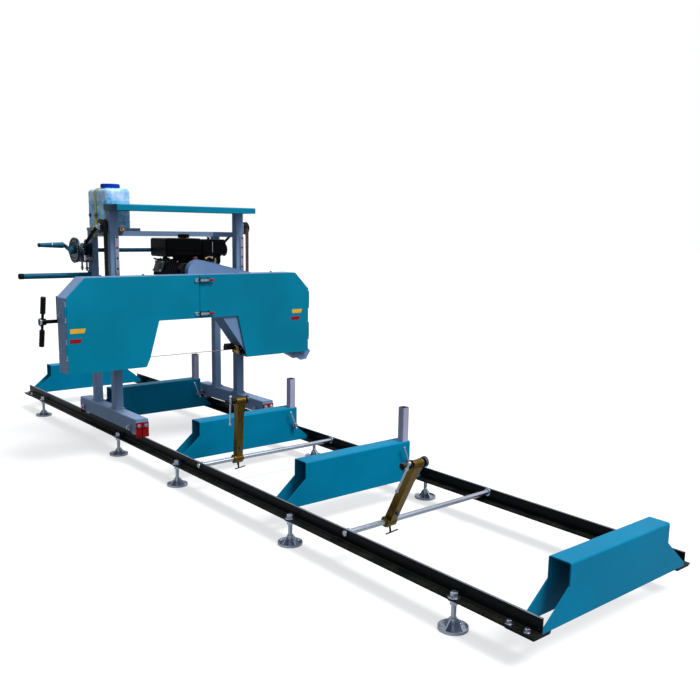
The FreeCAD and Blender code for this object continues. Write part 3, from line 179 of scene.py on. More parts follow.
def along(place, direction):
    """Carries what points along +Z at the origin to a place, pointing in the direction."""
    return Matrix.Translation(place) @ Vector(direction).to_track_quat("Z", "Y").to_matrix().to_4x4()


def dress(piece, body, material):
    piece.data.materials.clear()
    piece.data.materials.append(material)
    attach(piece, body)
    return piece


def fixed(piece, spots, body, material):
    """The piece at each of its places, joined and dressed."""
    return dress(placed(piece, spots), body, material)


# Shader building

def new_group(name, inputs, outputs):
    tree = bpy.data.node_groups.new(name, "ShaderNodeTree")
    for label, kind, value in inputs:
        s = tree.interface.new_socket(label, in_out="INPUT", socket_type="NodeSocket" + kind)
        if value is not None:
            s.default_value = value
    for label, kind in outputs:
        tree.interface.new_socket(label, in_out="OUTPUT", socket_type="NodeSocket" + kind)
    return tree, tree.nodes.new("NodeGroupInput"), tree.nodes.new("NodeGroupOutput")


def feed(tree, sockets, values):
    """Gives each socket its value or its link."""
    for socket, v in zip(sockets, values):
        if isinstance(v, (int, float, tuple)):
            socket.default_value = v
        elif v is not None:
            tree.links.new(v, socket)


def maths(tree, operation, a, b=None, clamp=False):
    n = tree.nodes.new("ShaderNodeMath")
    n.operation, n.use_clamp = operation, clamp
    feed(tree, n.inputs, (a, b))
    return n.outputs[0]


def ranged(tree, value, low_in, high_in, low_out=0.0, high_out=1.0):
    n = tree.nodes.new("ShaderNodeMapRange")
    feed(tree, n.inputs, (value, low_in, high_in, low_out, high_out))
    return n.outputs[0]


def mixed(tree, factor, a, b):
    n = tree.nodes.new("ShaderNodeMix")
    n.data_type = "RGBA"
    feed(tree, (n.inputs[0], n.inputs[6], n.inputs[7]), (factor, a, b))
    return n.outputs[2]


def noise(tree, vector, scale, detail=3.0, rough=0.55):
    n = tree.nodes.new("ShaderNodeTexNoise")
    feed(tree, [n.inputs[k] for k in ("Vector", "Scale", "Detail", "Roughness")],
         (vector, scale, detail, rough))
    return n.outputs["Fac"]


def split(tree, vector):
    """The X, Y and Z of a vector."""
    n = tree.nodes.new("ShaderNodeSeparateXYZ")
    tree.links.new(vector, n.inputs[0])
    return n.outputs


def stretched(tree, vector, x, y, z):
    n = tree.nodes.new("ShaderNodeMapping")
    tree.links.new(vector, n.inputs["Vector"])
    n.inputs["Scale"].default_value = (x, y, z)
    return n.outputs["Vector"]


def slanted(tree, vector, x, y, z):
    """The vector turned off every axis first, so that fine lines show on flat faces of each direction."""
    n = tree.nodes.new("ShaderNodeMapping")
    tree.links.new(vector, n.inputs["Vector"])
    n.inputs["Rotation"].default_value = (0.6, 0.5, 0.8)
    return stretched(tree, n.outputs["Vector"], x, y, z)


def make_dust_group():
    """Dust and sawdust that settle on what faces up, in soft patches."""
    tree, gin, gout = new_group("settled_dust", [("Vector", "Vector", None), ("Amount", "Float", 0.3)],
                                [("Mask", "Float")])
    facing = ranged(tree, split(tree, tree.nodes.new("ShaderNodeNewGeometry").outputs["Normal"])["Z"], 0.2,
                    1.0)
    patches = ranged(tree, noise(tree, gin.outputs["Vector"], 9.0, 5.0, 0.6), 0.38, 0.72)
    fine = ranged(tree, noise(tree, gin.outputs["Vector"], 160.0, 3.0), 0.35, 0.7, 0.5, 1.0)
    mask = maths(tree, "MULTIPLY", facing, maths(tree, "MULTIPLY", patches, fine))
    tree.links.new(maths(tree, "MULTIPLY", mask, gin.outputs["Amount"], clamp=True), gout.inputs["Mask"])
    return tree


def make_scuff_group():
    """Fine handling scratches in two directions, gathered in patches."""
    tree, gin, gout = new_group("scuffs", [("Vector", "Vector", None), ("Amount", "Float", 0.5)],
                                [("Mask", "Float")])
    v = gin.outputs["Vector"]
    lines = noise(tree, slanted(tree, v, 6.0, 6.0, 300.0), 4.0, 2.0)
    across = noise(tree, slanted(tree, v, 260.0, 9.0, 12.0), 4.0, 2.0)
    thin = maths(tree, "MAXIMUM", ranged(tree, lines, 0.66, 0.7), ranged(tree, across, 0.67, 0.71))
    patches = ranged(tree, noise(tree, v, 9.0, 4.0, 0.6), 0.52, 0.7)
    mask = maths(tree, "MULTIPLY", maths(tree, "MULTIPLY", thin, patches), gin.outputs["Amount"], clamp=True)
    tree.links.new(mask, gout.inputs["Mask"])
    return tree


def make_peel_group():
    """The ripple of sprayed paint or the grain of a casting as a height, and slow changes of tone."""
    tree, gin, gout = new_group("peel", [("Vector", "Vector", None), ("Scale", "Float", 220.0)],
                                [("Height", "Float"), ("Tone", "Float")])
    v = gin.outputs["Vector"]
    tree.links.new(noise(tree, v, gin.outputs["Scale"], 2.0, 0.5), gout.inputs["Height"])
    tree.links.new(noise(tree, v, 2.6, 4.0, 0.5), gout.inputs["Tone"])
    return tree


def make_weave_group():
    """Webbing: two sets of threads that cross, from the Object coordinates."""
    tree, gin, gout = new_group("webbing", [("Vector", "Vector", None), ("Scale", "Float", 900.0)],
                                [("Height", "Float"), ("Shade", "Float")])
    v = gin.outputs["Vector"]
    waves = []
    for axis in "XYZ":
        w = tree.nodes.new("ShaderNodeTexWave")
        w.bands_direction = axis
        tree.links.new(v, w.inputs["Vector"])
        tree.links.new(gin.outputs["Scale"], w.inputs["Scale"])
        waves.append(w.outputs["Fac"])
    height = maths(tree, "MULTIPLY", maths(tree, "ADD", maths(tree, "ADD", waves[0], waves[1]), waves[2]),
                   0.33)
    tree.links.new(height, gout.inputs["Height"])
    tree.links.new(ranged(tree, height, 0.2, 0.8, 0.55, 1.0), gout.inputs["Shade"])
    return tree


dust_group = make_dust_group()
scuff_group = make_scuff_group()
peel_group = make_peel_group()
weave_group = make_weave_group()


def grouped(tree, group, vector, **values):
    n = tree.nodes.new("ShaderNodeGroup")
    n.node_tree = group
    tree.links.new(vector, n.inputs["Vector"])
    for key, value in values.items():
        n.inputs[key].default_value = value
    return n.outputs


def blank(name, roughness=0.5, metallic=0.0, coat=0.0, coat_roughness=0.1):
    """A material with its shader, ready to be wired."""
    m = bpy.data.materials.new(name)
    m.use_nodes = True
    tree = m.node_tree
    shader = tree.nodes["Principled BSDF"]
    for label, value in (("Roughness", roughness), ("Metallic", metallic), ("Coat Weight", coat),
                         ("Coat Roughness", coat_roughness),
                         ("Specular IOR Level", 0.5 if metallic else 0.22)):
        shader.inputs[label].default_value = value
    return m, tree, shader, tree.nodes.new("ShaderNodeTexCoord").outputs["Object"]


def reopened(m):
    """What is needed to wire a finished material further."""
    tree = m.node_tree
    shader = tree.nodes["Principled BSDF"]
    return tree, shader, split(tree, tree.nodes["Texture Coordinate"].outputs["Object"])


def bumped(tree, shader, height, strength, distance):
    n = tree.nodes.new("ShaderNodeBump")
    n.inputs["Strength"].default_value = strength
    n.inputs["Distance"].default_value = distance
    tree.links.new(height, n.inputs["Height"])
    tree.links.new(n.outputs["Normal"], shader.inputs["Normal"])


def rgb(r, g, b):
    """A colour as a screen shows it, 0 to 255, turned into the light values that shaders use."""
    return tuple(((c / 255 + 0.055) / 1.055) ** 2.4 if c > 10 else c / 255 / 12.92
                 for c in (r, g, b)) + (1.0,)


def shade(colour, k):
    return tuple(min(1.0, c * k) for c in colour[:3]) + (1.0,)


sawdust = rgb(176, 156, 120)
bare_steel = rgb(120, 124, 128)


def toned(tree, factor, colour, dark, pale):
    """The colour between a darker and a paler shade of itself."""
    return mixed(tree, factor, shade(colour, dark), shade(colour, pale))


def dusted(tree, shader, vector, colour, amount):
    """Lays dust over the colour and gives it to the shader."""
    mask = grouped(tree, dust_group, vector, Amount=amount)["Mask"]
    tree.links.new(mixed(tree, mask, colour, sawdust), shader.inputs["Base Color"])


def paint(name, colour, roughness=0.4, coat=0.03, dust=0.06, scuffs=0.4, shine=0.07):
    """Sprayed paint: slow changes of tone, an orange-peel ripple, fine scratches and a little dust on top."""
    m, tree, shader, v = blank(name, roughness, 0.0, coat, 0.12)
    shader.inputs["Specular IOR Level"].default_value = shine
    peel = grouped(tree, peel_group, v, Scale=240.0)
    tone = toned(tree, ranged(tree, peel["Tone"], 0.3, 0.7), colour, 0.86, 1.12)
    scuff = grouped(tree, scuff_group, v, Amount=scuffs)["Mask"]
    dusted(tree, shader, v, mixed(tree, scuff, tone, mixed(tree, 0.5, colour, bare_steel)), dust)
    rough = maths(tree, "ADD", ranged(tree, peel["Tone"], 0.25, 0.75, roughness - 0.06, roughness + 0.08),
                  maths(tree, "MULTIPLY", scuff, 0.25))
    tree.links.new(rough, shader.inputs["Roughness"])
    bumped(tree, shader, peel["Height"], 0.08, 0.0006)
    return m


def metal(name, colour, roughness=0.32, grain=(40.0, 40.0, 900.0), contrast=0.18, dust=0.12):
    """Bare or plated metal with a fine grain that runs one way."""
    m, tree, shader, v = blank(name, roughness, 1.0)
    grain_noise = noise(tree, stretched(tree, v, *grain), 1.0, 4.0, 0.7)
    peel = grouped(tree, peel_group, v, Scale=60.0)
    tone = toned(tree, grain_noise, colour, 1 - contrast, 1 + contrast)
    dusted(tree, shader, v, mixed(tree, ranged(tree, peel["Tone"], 0.55, 0.8), tone, shade(colour, 0.7)),
           dust)
    rough = ranged(tree, grain_noise, 0.2, 0.8, roughness - 0.07, roughness + 0.12)
    tree.links.new(rough, shader.inputs["Roughness"])
    bumped(tree, shader, grain_noise, 0.06, 0.0003)
    return m


def casting(name, colour, roughness=0.55, metallic=0.6, grain=380.0):
    """The sand-cast skin of iron or aluminium, with grime in its hollows."""
    m, tree, shader, v = blank(name, roughness, metallic)
    peel = grouped(tree, peel_group, v, Scale=grain)
    tone = toned(tree, ranged(tree, peel["Tone"], 0.3, 0.7), colour, 0.72, 1.2)
    dusted(tree, shader, v, mixed(tree, ranged(tree, peel["Height"], 0.35, 0.65), shade(colour, 0.6), tone),
           0.2)
    rough = ranged(tree, peel["Tone"], 0.2, 0.8, roughness - 0.1, roughness + 0.12)
    tree.links.new(rough, shader.inputs["Roughness"])
    bumped(tree, shader, peel["Height"], 0.25, 0.0008)
    return m


def engine_finish():
    """Dark castings below, and smooth black plastic for the filter's box above them."""
    m = casting("engine_casting", rgb(24, 26, 30), 0.5, 0.0)
    tree, shader, place = reopened(m)
    filter_foot = 1.235
    above = ranged(tree, place["Z"], filter_foot - 0.0005, filter_foot + 0.0005)
    cast_colour = shader.inputs["Base Color"].links[0].from_socket
    tree.links.new(mixed(tree, above, cast_colour, rgb(6, 6, 8)), shader.inputs["Base Color"])
    shader.inputs["Specular IOR Level"].default_value = 0.03
    return m


def clamp_bar_finish(i):
    """A plated bar through a black hub, told apart by the distance from the clamp's screw."""
    m = metal("clamp_bar_%d" % i, rgb(172, 178, 190), 0.26)
    tree, shader, place = reopened(m)
    at = turns_at["clamp_%d_handle" % i]
    dy, dz = (maths(tree, "SUBTRACT", place[axis], c) for axis, c in (("Y", at.y), ("Z", at.z)))
    away = maths(tree, "SQRT", maths(tree, "ADD", maths(tree, "MULTIPLY", dy, dy),
                                     maths(tree, "MULTIPLY", dz, dz)))
    plated = ranged(tree, away, 0.0155, 0.0158)
    metal_colour = shader.inputs["Base Color"].links[0].from_socket
    tree.links.new(mixed(tree, plated, rgb(9, 10, 12), metal_colour), shader.inputs["Base Color"])
    tree.links.new(plated, shader.inputs["Metallic"])
    return m


def plastic(name, colour, roughness=0.4, grain=700.0, bump=0.1, dust=0.15):
    """Moulded plastic or rubber with its fine surface grain."""
    m, tree, shader, v = blank(name, roughness)
    shader.inputs["Specular IOR Level"].default_value = 0.08
    peel = grouped(tree, peel_group, v, Scale=grain)
    dusted(tree, shader, v, toned(tree, ranged(tree, peel["Tone"], 0.3, 0.7), colour, 0.85, 1.15), dust)
    rough = ranged(tree, peel["Tone"], 0.25, 0.75, roughness - 0.07, roughness + 0.1)
    tree.links.new(rough, shader.inputs["Roughness"])
    bumped(tree, shader, peel["Height"], bump, 0.0004)
    return m


def webbing(name, colour):
    """Woven strap, a little faded in patches."""
    m, tree, shader, v = blank(name, 0.85)
    weave = grouped(tree, weave_group, v, Scale=420.0)
    worn = ranged(tree, grouped(tree, peel_group, v, Scale=90.0)["Tone"], 0.45, 0.75)
    thread = mixed(tree, weave["Shade"], shade(colour, 0.45), colour)
    tree.links.new(mixed(tree, worn, thread, shade(colour, 1.35)), shader.inputs["Base Color"])
    bumped(tree, shader, weave["Height"], 0.5, 0.0008)
    return m


teal_paint = paint("teal_paint", rgb(0, 120, 150), coat=0.03, dust=0.02, scuffs=0.15, shine=0.06)
bunk_paint = paint("bunk_paint", rgb(0, 114, 150), 0.4, 0.0, 0.02, 0.15, 0.04)
handle_paint = paint("handle_paint", rgb(10, 82, 108), 0.36, dust=0.04)
grey_paint = paint("grey_paint", rgb(110, 134, 166), 0.42)
stop_paint = paint("stop_paint", rgb(158, 156, 180), 0.36)
case_paint = paint("case_paint", rgb(106, 132, 168), 0.45)
rail_paint = paint("rail_paint", rgb(9, 14, 15), 0.34, 0.02, 0.05, 0.7, 0.06)
scraper_paint = paint("scraper_paint", rgb(126, 10, 14), 0.35, 0.06, 0.04, 0.5)
black_paint = paint("black_paint", rgb(8, 9, 11), 0.36, 0.0, 0.04, 0.3, 0.05)
engine_black = paint("engine_black", rgb(5, 5, 7), 0.3, 0.0, 0.03, 0.2, 0.03)
zinc = metal("zinc", rgb(164, 172, 186), 0.28)
steel = metal("steel", rgb(128, 134, 146), 0.34)
blade_steel = metal("blade_steel", rgb(186, 188, 192), 0.25, (900.0, 60.0, 60.0))
chrome = metal("chrome", rgb(150, 158, 170), 0.14, (60.0, 60.0, 60.0), 0.25, 0.02)
gold_plate = metal("gold_plate", rgb(196, 150, 62), 0.3, (60.0, 60.0, 400.0), 0.25)
# The clamps' zinc-yellow plating at about half the brightness of gold_plate: painted shade for faces that stand in
# shade.
clamp_plate_shaded = metal("clamp_plate_shaded", rgb(98, 78, 30), 0.34, (50.0, 50.0, 30.0), 0.55)
iron = casting("iron", rgb(96, 98, 102))
alloy = casting("alloy", rgb(130, 132, 136), 0.42, 0.8, 520.0)
dark_alloy = casting("dark_alloy", rgb(62, 66, 72), 0.45, 0.5, 300.0)
# Bright bare steel for the strip along each rail's web: a painted highlight.
edge_highlight_steel = metal("edge_highlight_steel", rgb(150, 156, 168), 0.3, (60.0, 4.0, 60.0))
strip_steel = metal("strip_steel", rgb(150, 154, 172), 0.36, (300.0, 60.0, 20.0), 0.12, 0.05)
# About half as bright as teal_paint: painted shade for the top beam's ends, which face away from the light.
end_shade_paint = paint("end_shade_paint", rgb(0, 62, 78), 0.45, 0.03, 0.05, 0.3)
winch_steel = metal("winch_steel", rgb(72, 82, 98), 0.38, (60.0, 60.0, 60.0), 0.4, 0.04)
winch_paint = paint("winch_paint", rgb(8, 60, 84), 0.4, dust=0.05)
engine_casting = engine_finish()
black_plastic = plastic("black_plastic", rgb(12, 12, 14), 0.42, dust=0.06)
rubber = plastic("rubber", rgb(16, 16, 18), 0.75, 500.0, 0.2, 0.08)
cap_plastic = plastic("cap_plastic", rgb(4, 62, 176), 0.3, 500.0, 0.05, 0.05)
red_plastic = plastic("red_plastic", rgb(128, 22, 30), 0.45, dust=0.05)
marker_yellow = plastic("marker_yellow", rgb(224, 172, 40), 0.5, 300.0, 0.03, 0.05)
marker_red = plastic("marker_red", rgb(140, 24, 30), 0.5, 300.0, 0.03, 0.05)
black_strap = webbing("black_strap", rgb(14, 14, 17))
brown_strap = webbing("brown_strap", rgb(86, 56, 34))
yellow_strap = webbing("yellow_strap", rgb(200, 188, 62))


def tank_plastic_material():
    """Milky blue plastic: clouded patches whose palest parts are partly painted sheen, a soft line at the water,
    and wavy near-white streaks that run level, which are painted highlights.
    """
    m, tree, shader, v = blank("tank_plastic", 0.24, 0.0, 0.15, 0.15)
    base, top = low("water_tank").z, high("water_tank").z
    cloud = noise(tree, stretched(tree, v, 16.0, 16.0, 11.0), 1.0, 5.0, 0.68)
    ripple = noise(tree, stretched(tree, v, 14.0, 14.0, 52.0), 1.0, 3.0, 0.6)
    line = base + 0.66 * (top - base)
    wavy = maths(tree, "ADD", split(tree, v)["Z"], maths(tree, "MULTIPLY", cloud, 0.006))
    filled = ranged(tree, wavy, line - 0.001, line + 0.006, 1.0, 0.0)
    # The pale end of the clouding is partly painted sheen as well as the plastic's own mottling.
    air = mixed(tree, ranged(tree, cloud, 0.36, 0.62), rgb(60, 156, 214), rgb(196, 222, 246))
    water = mixed(tree, ranged(tree, cloud, 0.38, 0.66), rgb(40, 142, 196), rgb(156, 214, 240))
    body = mixed(tree, filled, air, water)
    # Near-white wavy streaks laid over the body: painted highlights.
    painted_highlight_streaks = maths(tree, "MULTIPLY", ranged(tree, ripple, 0.56, 0.72), 0.75)
    tree.links.new(mixed(tree, painted_highlight_streaks, body, rgb(226, 240, 250)), shader.inputs["Base Color"])
    peel = grouped(tree, peel_group, v, Scale=60.0)
    bumped(tree, shader, peel["Height"], 0.12, 0.001)
    return m


tank_plastic = tank_plastic_material()

finishes = {"rails": rail_paint, "clamp_rods": zinc, "levelling_feet": zinc, "carriage_beams": grey_paint,
            "front_wheels": steel, "rear_wheels": steel, "rail_scrapers": scraper_paint,
            "front_posts": grey_paint, "rear_frame": grey_paint, "top_beam": teal_paint,
            "water_tank": tank_plastic, "tank_cap": cap_plastic, "tank_strap": yellow_strap,
            "push_handle": handle_paint, "winch_frame": winch_steel, "winch_drum": winch_paint,
            "winch_crank": handle_paint, "lift_pulleys": black_plastic, "winch_straps": black_strap,
            "lift_straps": black_strap, "head_frame": grey_paint, "cover_case": case_paint,
            "left_door": teal_paint, "right_door": teal_paint, "upper_latch": chrome, "lower_latch": chrome,
            "drive_wheel": iron, "idler_wheel": iron, "saw_band": blade_steel, "tension_slide": steel,
            "tension_handle": black_paint, "band_guides": black_paint, "upper_roller": gold_plate,
            "lower_roller": gold_plate, "belt_guard": case_paint, "engine_pulley": iron, "drive_belt": rubber,
            "sawdust_chute": case_paint, "engine_block": engine_casting, "engine_fuel_tank": engine_black,
            "fuel_cap": black_plastic}
families = (("bunk_", bunk_paint), ("stop_post_", stop_paint), ("stop_screw_", zinc),
            ("clamp_collar_", clamp_plate_shaded), ("clamp_arm_", clamp_plate_shaded), ("clamp_spindle_", winch_steel),
            ("clamp_handle_1", clamp_bar_finish(1)), ("clamp_handle_2", clamp_bar_finish(2)))
for node, obj in nodes.items():
    for family, finish in families:
        if node.startswith(family):
            finishes[node] = finish
    obj.data.materials.clear()
    obj.data.materials.append(finishes[node])


# Places that the pieces share, read from the frame or measured from the middle

both = (-1, 1)
mid_x = middle("rails").x
rail_x = 0.450
flange_low = low("rails").z
flange_top = flange_low + 0.007
rail_top = high("rails").z
front_post = (0.444, 0.813, 0.055)
rear_post = (0.445, 1.110, 0.050)
strap_x, strap_width, strap_t = 0.500, 0.025, 0.0024
pulley_r, drum_r = 0.038, 0.028
door_face = 0.543
case_left = mid_x - 0.030
wheel_front = low("saw_band").y + 0.016 - 0.021
foot_spots = [Vector(m["pos_m"]) for m in frame["record"]["mounts"] if m["name"].startswith("foot_bolts")]


def hex_bolt(name, across, washer_t=0.0025, stud=0.0):
    """A hexagon head on a washer at the origin, pointing up, with a stud's end where it is a nut."""
    head_h = across * 0.62
    head = bar(name, (0, 0, washer_t), (0, 0, washer_t + head_h), across / math.sqrt(3), 6)
    open_to_edit(head, head.data.polygons, lambda face: face.normal.z > 0.9)
    bpy.ops.mesh.inset(thickness=across * 0.1, depth=across * 0.05)
    bpy.ops.object.mode_set(mode="OBJECT")
    hole, rim = across * 0.3, across * 0.9
    washer = lathed(name + "_washer", [(hole, 0), (across * 0.86, 0), (rim, washer_t * 0.3),
                                       (rim, washer_t * 0.8), (across * 0.84, washer_t), (hole, washer_t)],
                    24)
    made = [head, washer]
    if stud:
        r = across * 0.29
        top = washer_t + head_h
        made.append(lathed(name + "_stud", [(0, top - 0.001), (r, top - 0.001), (r, top + stud - r * 0.3),
                                            (r * 0.75, top + stud), (0, top + stud)], 16))
    return joined(name, made)


def lathed(name, profile, sides=32):
    """A turned piece round Z at the origin, from (radius, height) points in order."""
    clear_selection()
    bpy.ops.mesh.primitive_plane_add(size=0.01)
    piece = bpy.context.object
    bpy.ops.object.mode_set(mode="EDIT")
    bpy.ops.mesh.select_all(action="SELECT")
    bpy.ops.mesh.merge(type="CENTER")
    r0, z0 = profile[0]
    bpy.ops.transform.translate(value=(r0, 0, z0))
    for r, z in profile[1:]:
        bpy.ops.mesh.extrude_vertices_move(TRANSFORM_OT_translate={"value": (r - r0, 0, z - z0)})
        r0, z0 = r, z
    bpy.ops.mesh.select_all(action="SELECT")
    bpy.ops.mesh.spin(steps=sides, angle=2 * math.pi, center=(0, 0, 0), axis=(0, 0, 1))
    bpy.ops.mesh.select_all(action="SELECT")
    bpy.ops.mesh.remove_doubles(threshold=0.00002)
    close_outwards()
    piece.name = piece.data.name = name
    bpy.ops.object.shade_smooth_by_angle(angle=math.radians(30))
    return piece


def strip(name, path, width, thickness, centre_x=0.0):
    """Webbing or flat bar whose width lies along X, led through (y, z) points and given its thickness."""
    clear_selection()
    bpy.ops.mesh.primitive_plane_add(size=width)
    piece = bpy.context.object
    open_to_edit(piece, piece.data.vertices, lambda v: v.co.y < 0)
    bpy.ops.mesh.delete(type="VERT")
    bpy.ops.mesh.select_all(action="SELECT")
    y0, z0 = path[0]
    bpy.ops.transform.translate(value=(centre_x, y0 - 0.5 * width, z0))
    for y, z in path[1:]:
        bpy.ops.mesh.extrude_edges_move(TRANSFORM_OT_translate={"value": (0, y - y0, z - z0)})
        y0, z0 = y, z
    bpy.ops.object.mode_set(mode="OBJECT")
    piece.name = piece.data.name = name
    m = piece.modifiers.new("thickness", "SOLIDIFY")
    m.thickness, m.offset, m.use_even_offset = thickness, 0, True
    bpy.ops.object.modifier_apply(modifier=m.name)
    return soften(piece, thickness * 0.3, 2, 50)


def arc(centre, radius, start, end, steps):
    """Points on an arc in the (y, z) plane, with its angles in degrees."""
    turns = [math.radians(start + (end - start) * i / steps) for i in range(steps + 1)]
    return [(centre[0] + radius * math.cos(t), centre[1] + radius * math.sin(t)) for t in turns]


def on_circle(r, turn):
    """A place on a circle round the origin, for a turn in radians."""
    return r * math.cos(turn), r * math.sin(turn)


def welded_round(name, x, y, z, half, radius):
    """Four beads of weld in a square round an upright tube."""
    return [bar(name, (x + cx - ux, y + cy - uy, z), (x + cx + ux, y + cy + uy, z), radius, 10)
            for cx, cy, ux, uy in ((0, -half, half, 0), (0, half, half, 0), (-half, 0, 0, half),
                                   (half, 0, 0, half))]


down = Matrix.Rotation(math.pi, 4, "X")


# Track

def foot_hardware():
    """A nut above and one below each rail's flange, and the thread of each foot's screw."""
    spots = []
    for p in foot_spots:
        spots += [shift(p.x, p.y, flange_top), shift(p.x, p.y, flange_low) @ down]
    fixed(hex_bolt("foot_nuts", 0.027, 0.003), spots, "track", zinc)
    z0, z1, pitch, r = 0.046, flange_low - 0.001, 0.0025, 0.0091
    root, crest = r - 0.0003, r + 0.0006
    profile = [(root, z0)]
    for i in range(int((z1 - z0) / pitch)):
        z = z0 + pitch * i
        profile += [(crest, z + pitch * 0.35), (crest, z + pitch * 0.6), (root, z + pitch)]
    fixed(lathed("foot_threads", profile, 16), [shift(p.x, p.y, 0) for p in foot_spots], "feet", zinc)


def rail_hardware():
    """Bolts through the outer flanges at both ends, and the end plates under them."""
    x = high("rails").x - 0.022 - mid_x
    y_end = high("rails").y
    spots = [shift(mid_x + s * x, e * y, flange_top) for s in both for e in both
             for y in (y_end - 0.040, y_end - 0.115)]
    fixed(hex_bolt("rail_bolts", 0.017, 0.002), spots, "track", zinc)
    plates = [soften(block("end_plates", (mid_x + s * 0.404, e * (y_end - 0.001), flange_low - 0.006),
                           (mid_x + s * 0.492, e * (y_end - 0.12), flange_low)), 0.0015)
              for s in both for e in both]
    dress(joined("end_plates", plates), "track", rail_paint)


def stop_hardware():
    """The round ends of the screws' cross bars, the weld round each sleeve and a cap on each stop."""
    for i in (1, 2, 3):
        screw = turns_at["stop_screw_%d_turn" % i]
        body = "stop_screw_%d" % i
        face = low("bunk_%d" % (i + 1)).y
        lean = math.radians(-23)
        way = Vector((math.sin(lean), 0, math.cos(lean)))
        at = Vector((screw.x, face - 0.022, screw.z))
        ball = lathed("%s_ends" % body, [(0, -0.006), (0.004, -0.0052), (0.0062, -0.002), (0.0062, 0.002),
                                         (0.004, 0.0052), (0, 0.006)], 20)
        ends = placed(ball, [along(at + way * 0.088, way), along(at - way * 0.024, way)])
        dress(ends, body, zinc)
        collar = lathed("%s_collar" % body, [(0.0112, 0), (0.0135, 0.001), (0.0135, 0.005), (0.0112, 0.006)],
                        28)
        fixed(collar, [along((at.x, face - 0.0165, at.z), (0, 1, 0))], body, zinc)
        post = "stop_post_%d" % i
        a, b = low(post), high(post)
        cap = block("%s_cap" % post, (a.x + 0.002, a.y + 0.002, b.z - 0.001),
                    (b.x - 0.002, b.y - 0.002, b.z + 0.003))
        dress(soften(cap, 0.0012), "stop_%d" % i, black_plastic)


def clamp_frame(i):
    """Carries a point drawn on an upright clamp over its rod to the clamp as it leans."""
    rod = turns_at["clamp_%d_lean" % i]
    angle = {1: 3, 2: 27}[i]
    return Matrix.Translation((0, rod.y, rod.z)) @ Matrix.Rotation(math.radians(angle), 4, "X")


def clamp_hardware():
    """Welds, bolt, pad, bar end, black hub with its plug, and collar screw of both clamps."""
    boss_up, boss_w, hub_w = 0.326, 0.056, 0.048
    for i, x in ((1, mid_x - 0.215), (2, mid_x - 0.205)):
        tilt = clamp_frame(i)
        arm, spindle, handle = "clamp_arm_%d" % i, "clamp_spindle_%d" % i, "clamp_handle_%d" % i
        hub_x = x - boss_w / 2 - 0.004 - hub_w
        bead = ring("%s_welds" % arm, (0, 0, 0), (0, 0, 1), 0.0172, 0.0022, 40)
        fixed(bead, [tilt @ along((x + s * 0.0225, 0, boss_up), (1, 0, 0)) for s in both], arm,
              clamp_plate_shaded)
        fixed(hex_bolt("%s_bolt" % arm, 0.013, 0.0015), [tilt @ along((x, -0.019, 0.06), (0, -1, 0))], arm,
              winch_steel)
        pad = lathed("%s_pad" % spindle, [(0, 0), (0.0215, 0), (0.0235, 0.0015), (0.0235, 0.004),
                                          (0.021, 0.005), (0.019, 0.0035), (0.016, 0.005), (0.013, 0.0035),
                                          (0.010, 0.005), (0.007, 0.0035), (0, 0.004)], 36)
        fixed(pad, [tilt @ along((x + boss_w / 2 + 0.006 + 0.016, 0, boss_up), (1, 0, 0))], spindle,
              winch_steel)
        foot = lathed("%s_end" % handle, [(0, -0.008), (0.005, -0.0065), (0.0075, -0.002), (0.0075, 0.002),
                                          (0.005, 0.0065), (0, 0.008)], 24)
        fixed(foot, [tilt @ shift(hub_x + 0.012, -0.019, boss_up + 0.030 - 0.150)], handle, zinc)
        hub = lathed("%s_sleeve" % handle, [(0.0151, 0.0200), (0.0165, 0.0206), (0.0168, 0.0230),
                                            (0.0160, 0.0250), (0.0160, 0.0330), (0.0168, 0.0345),
                                            (0.0168, 0.0400), (0.0160, 0.0415), (0.0151, 0.0420)], 36)
        fixed(hub, [tilt @ along((hub_x + 0.0045, 0, boss_up), (1, 0, 0))], handle,
              black_plastic)
        cap = lathed("%s_plug" % handle, [(0, -0.0016), (0.010, -0.0014), (0.0140, 0.0002), (0.0140, 0.0008),
                                          (0, 0.0008)], 36)
        fixed(cap, [tilt @ along((hub_x - 0.0006, 0, boss_up), (1, 0, 0))], handle,
              black_plastic)
        stem = bar("clamp_screw", (x, 0, -0.016), (x + 0.002, -0.004, -0.056), 0.0045, 16)
        tommy = bar("clamp_tommy", (x - 0.018, 0.004, -0.060), (x + 0.042, -0.008, -0.048), 0.0032, 14)
        screw = joined("clamp_collar_%d_screw" % i, [stem, tommy])
        rod = turns_at["clamp_%d_lean" % i]
        screw.data.transform(shift(0, rod.y, rod.z))
        dress(soften(screw, 0.0008, 2), "clamp_collar_%d" % i, black_paint)


# Carriage

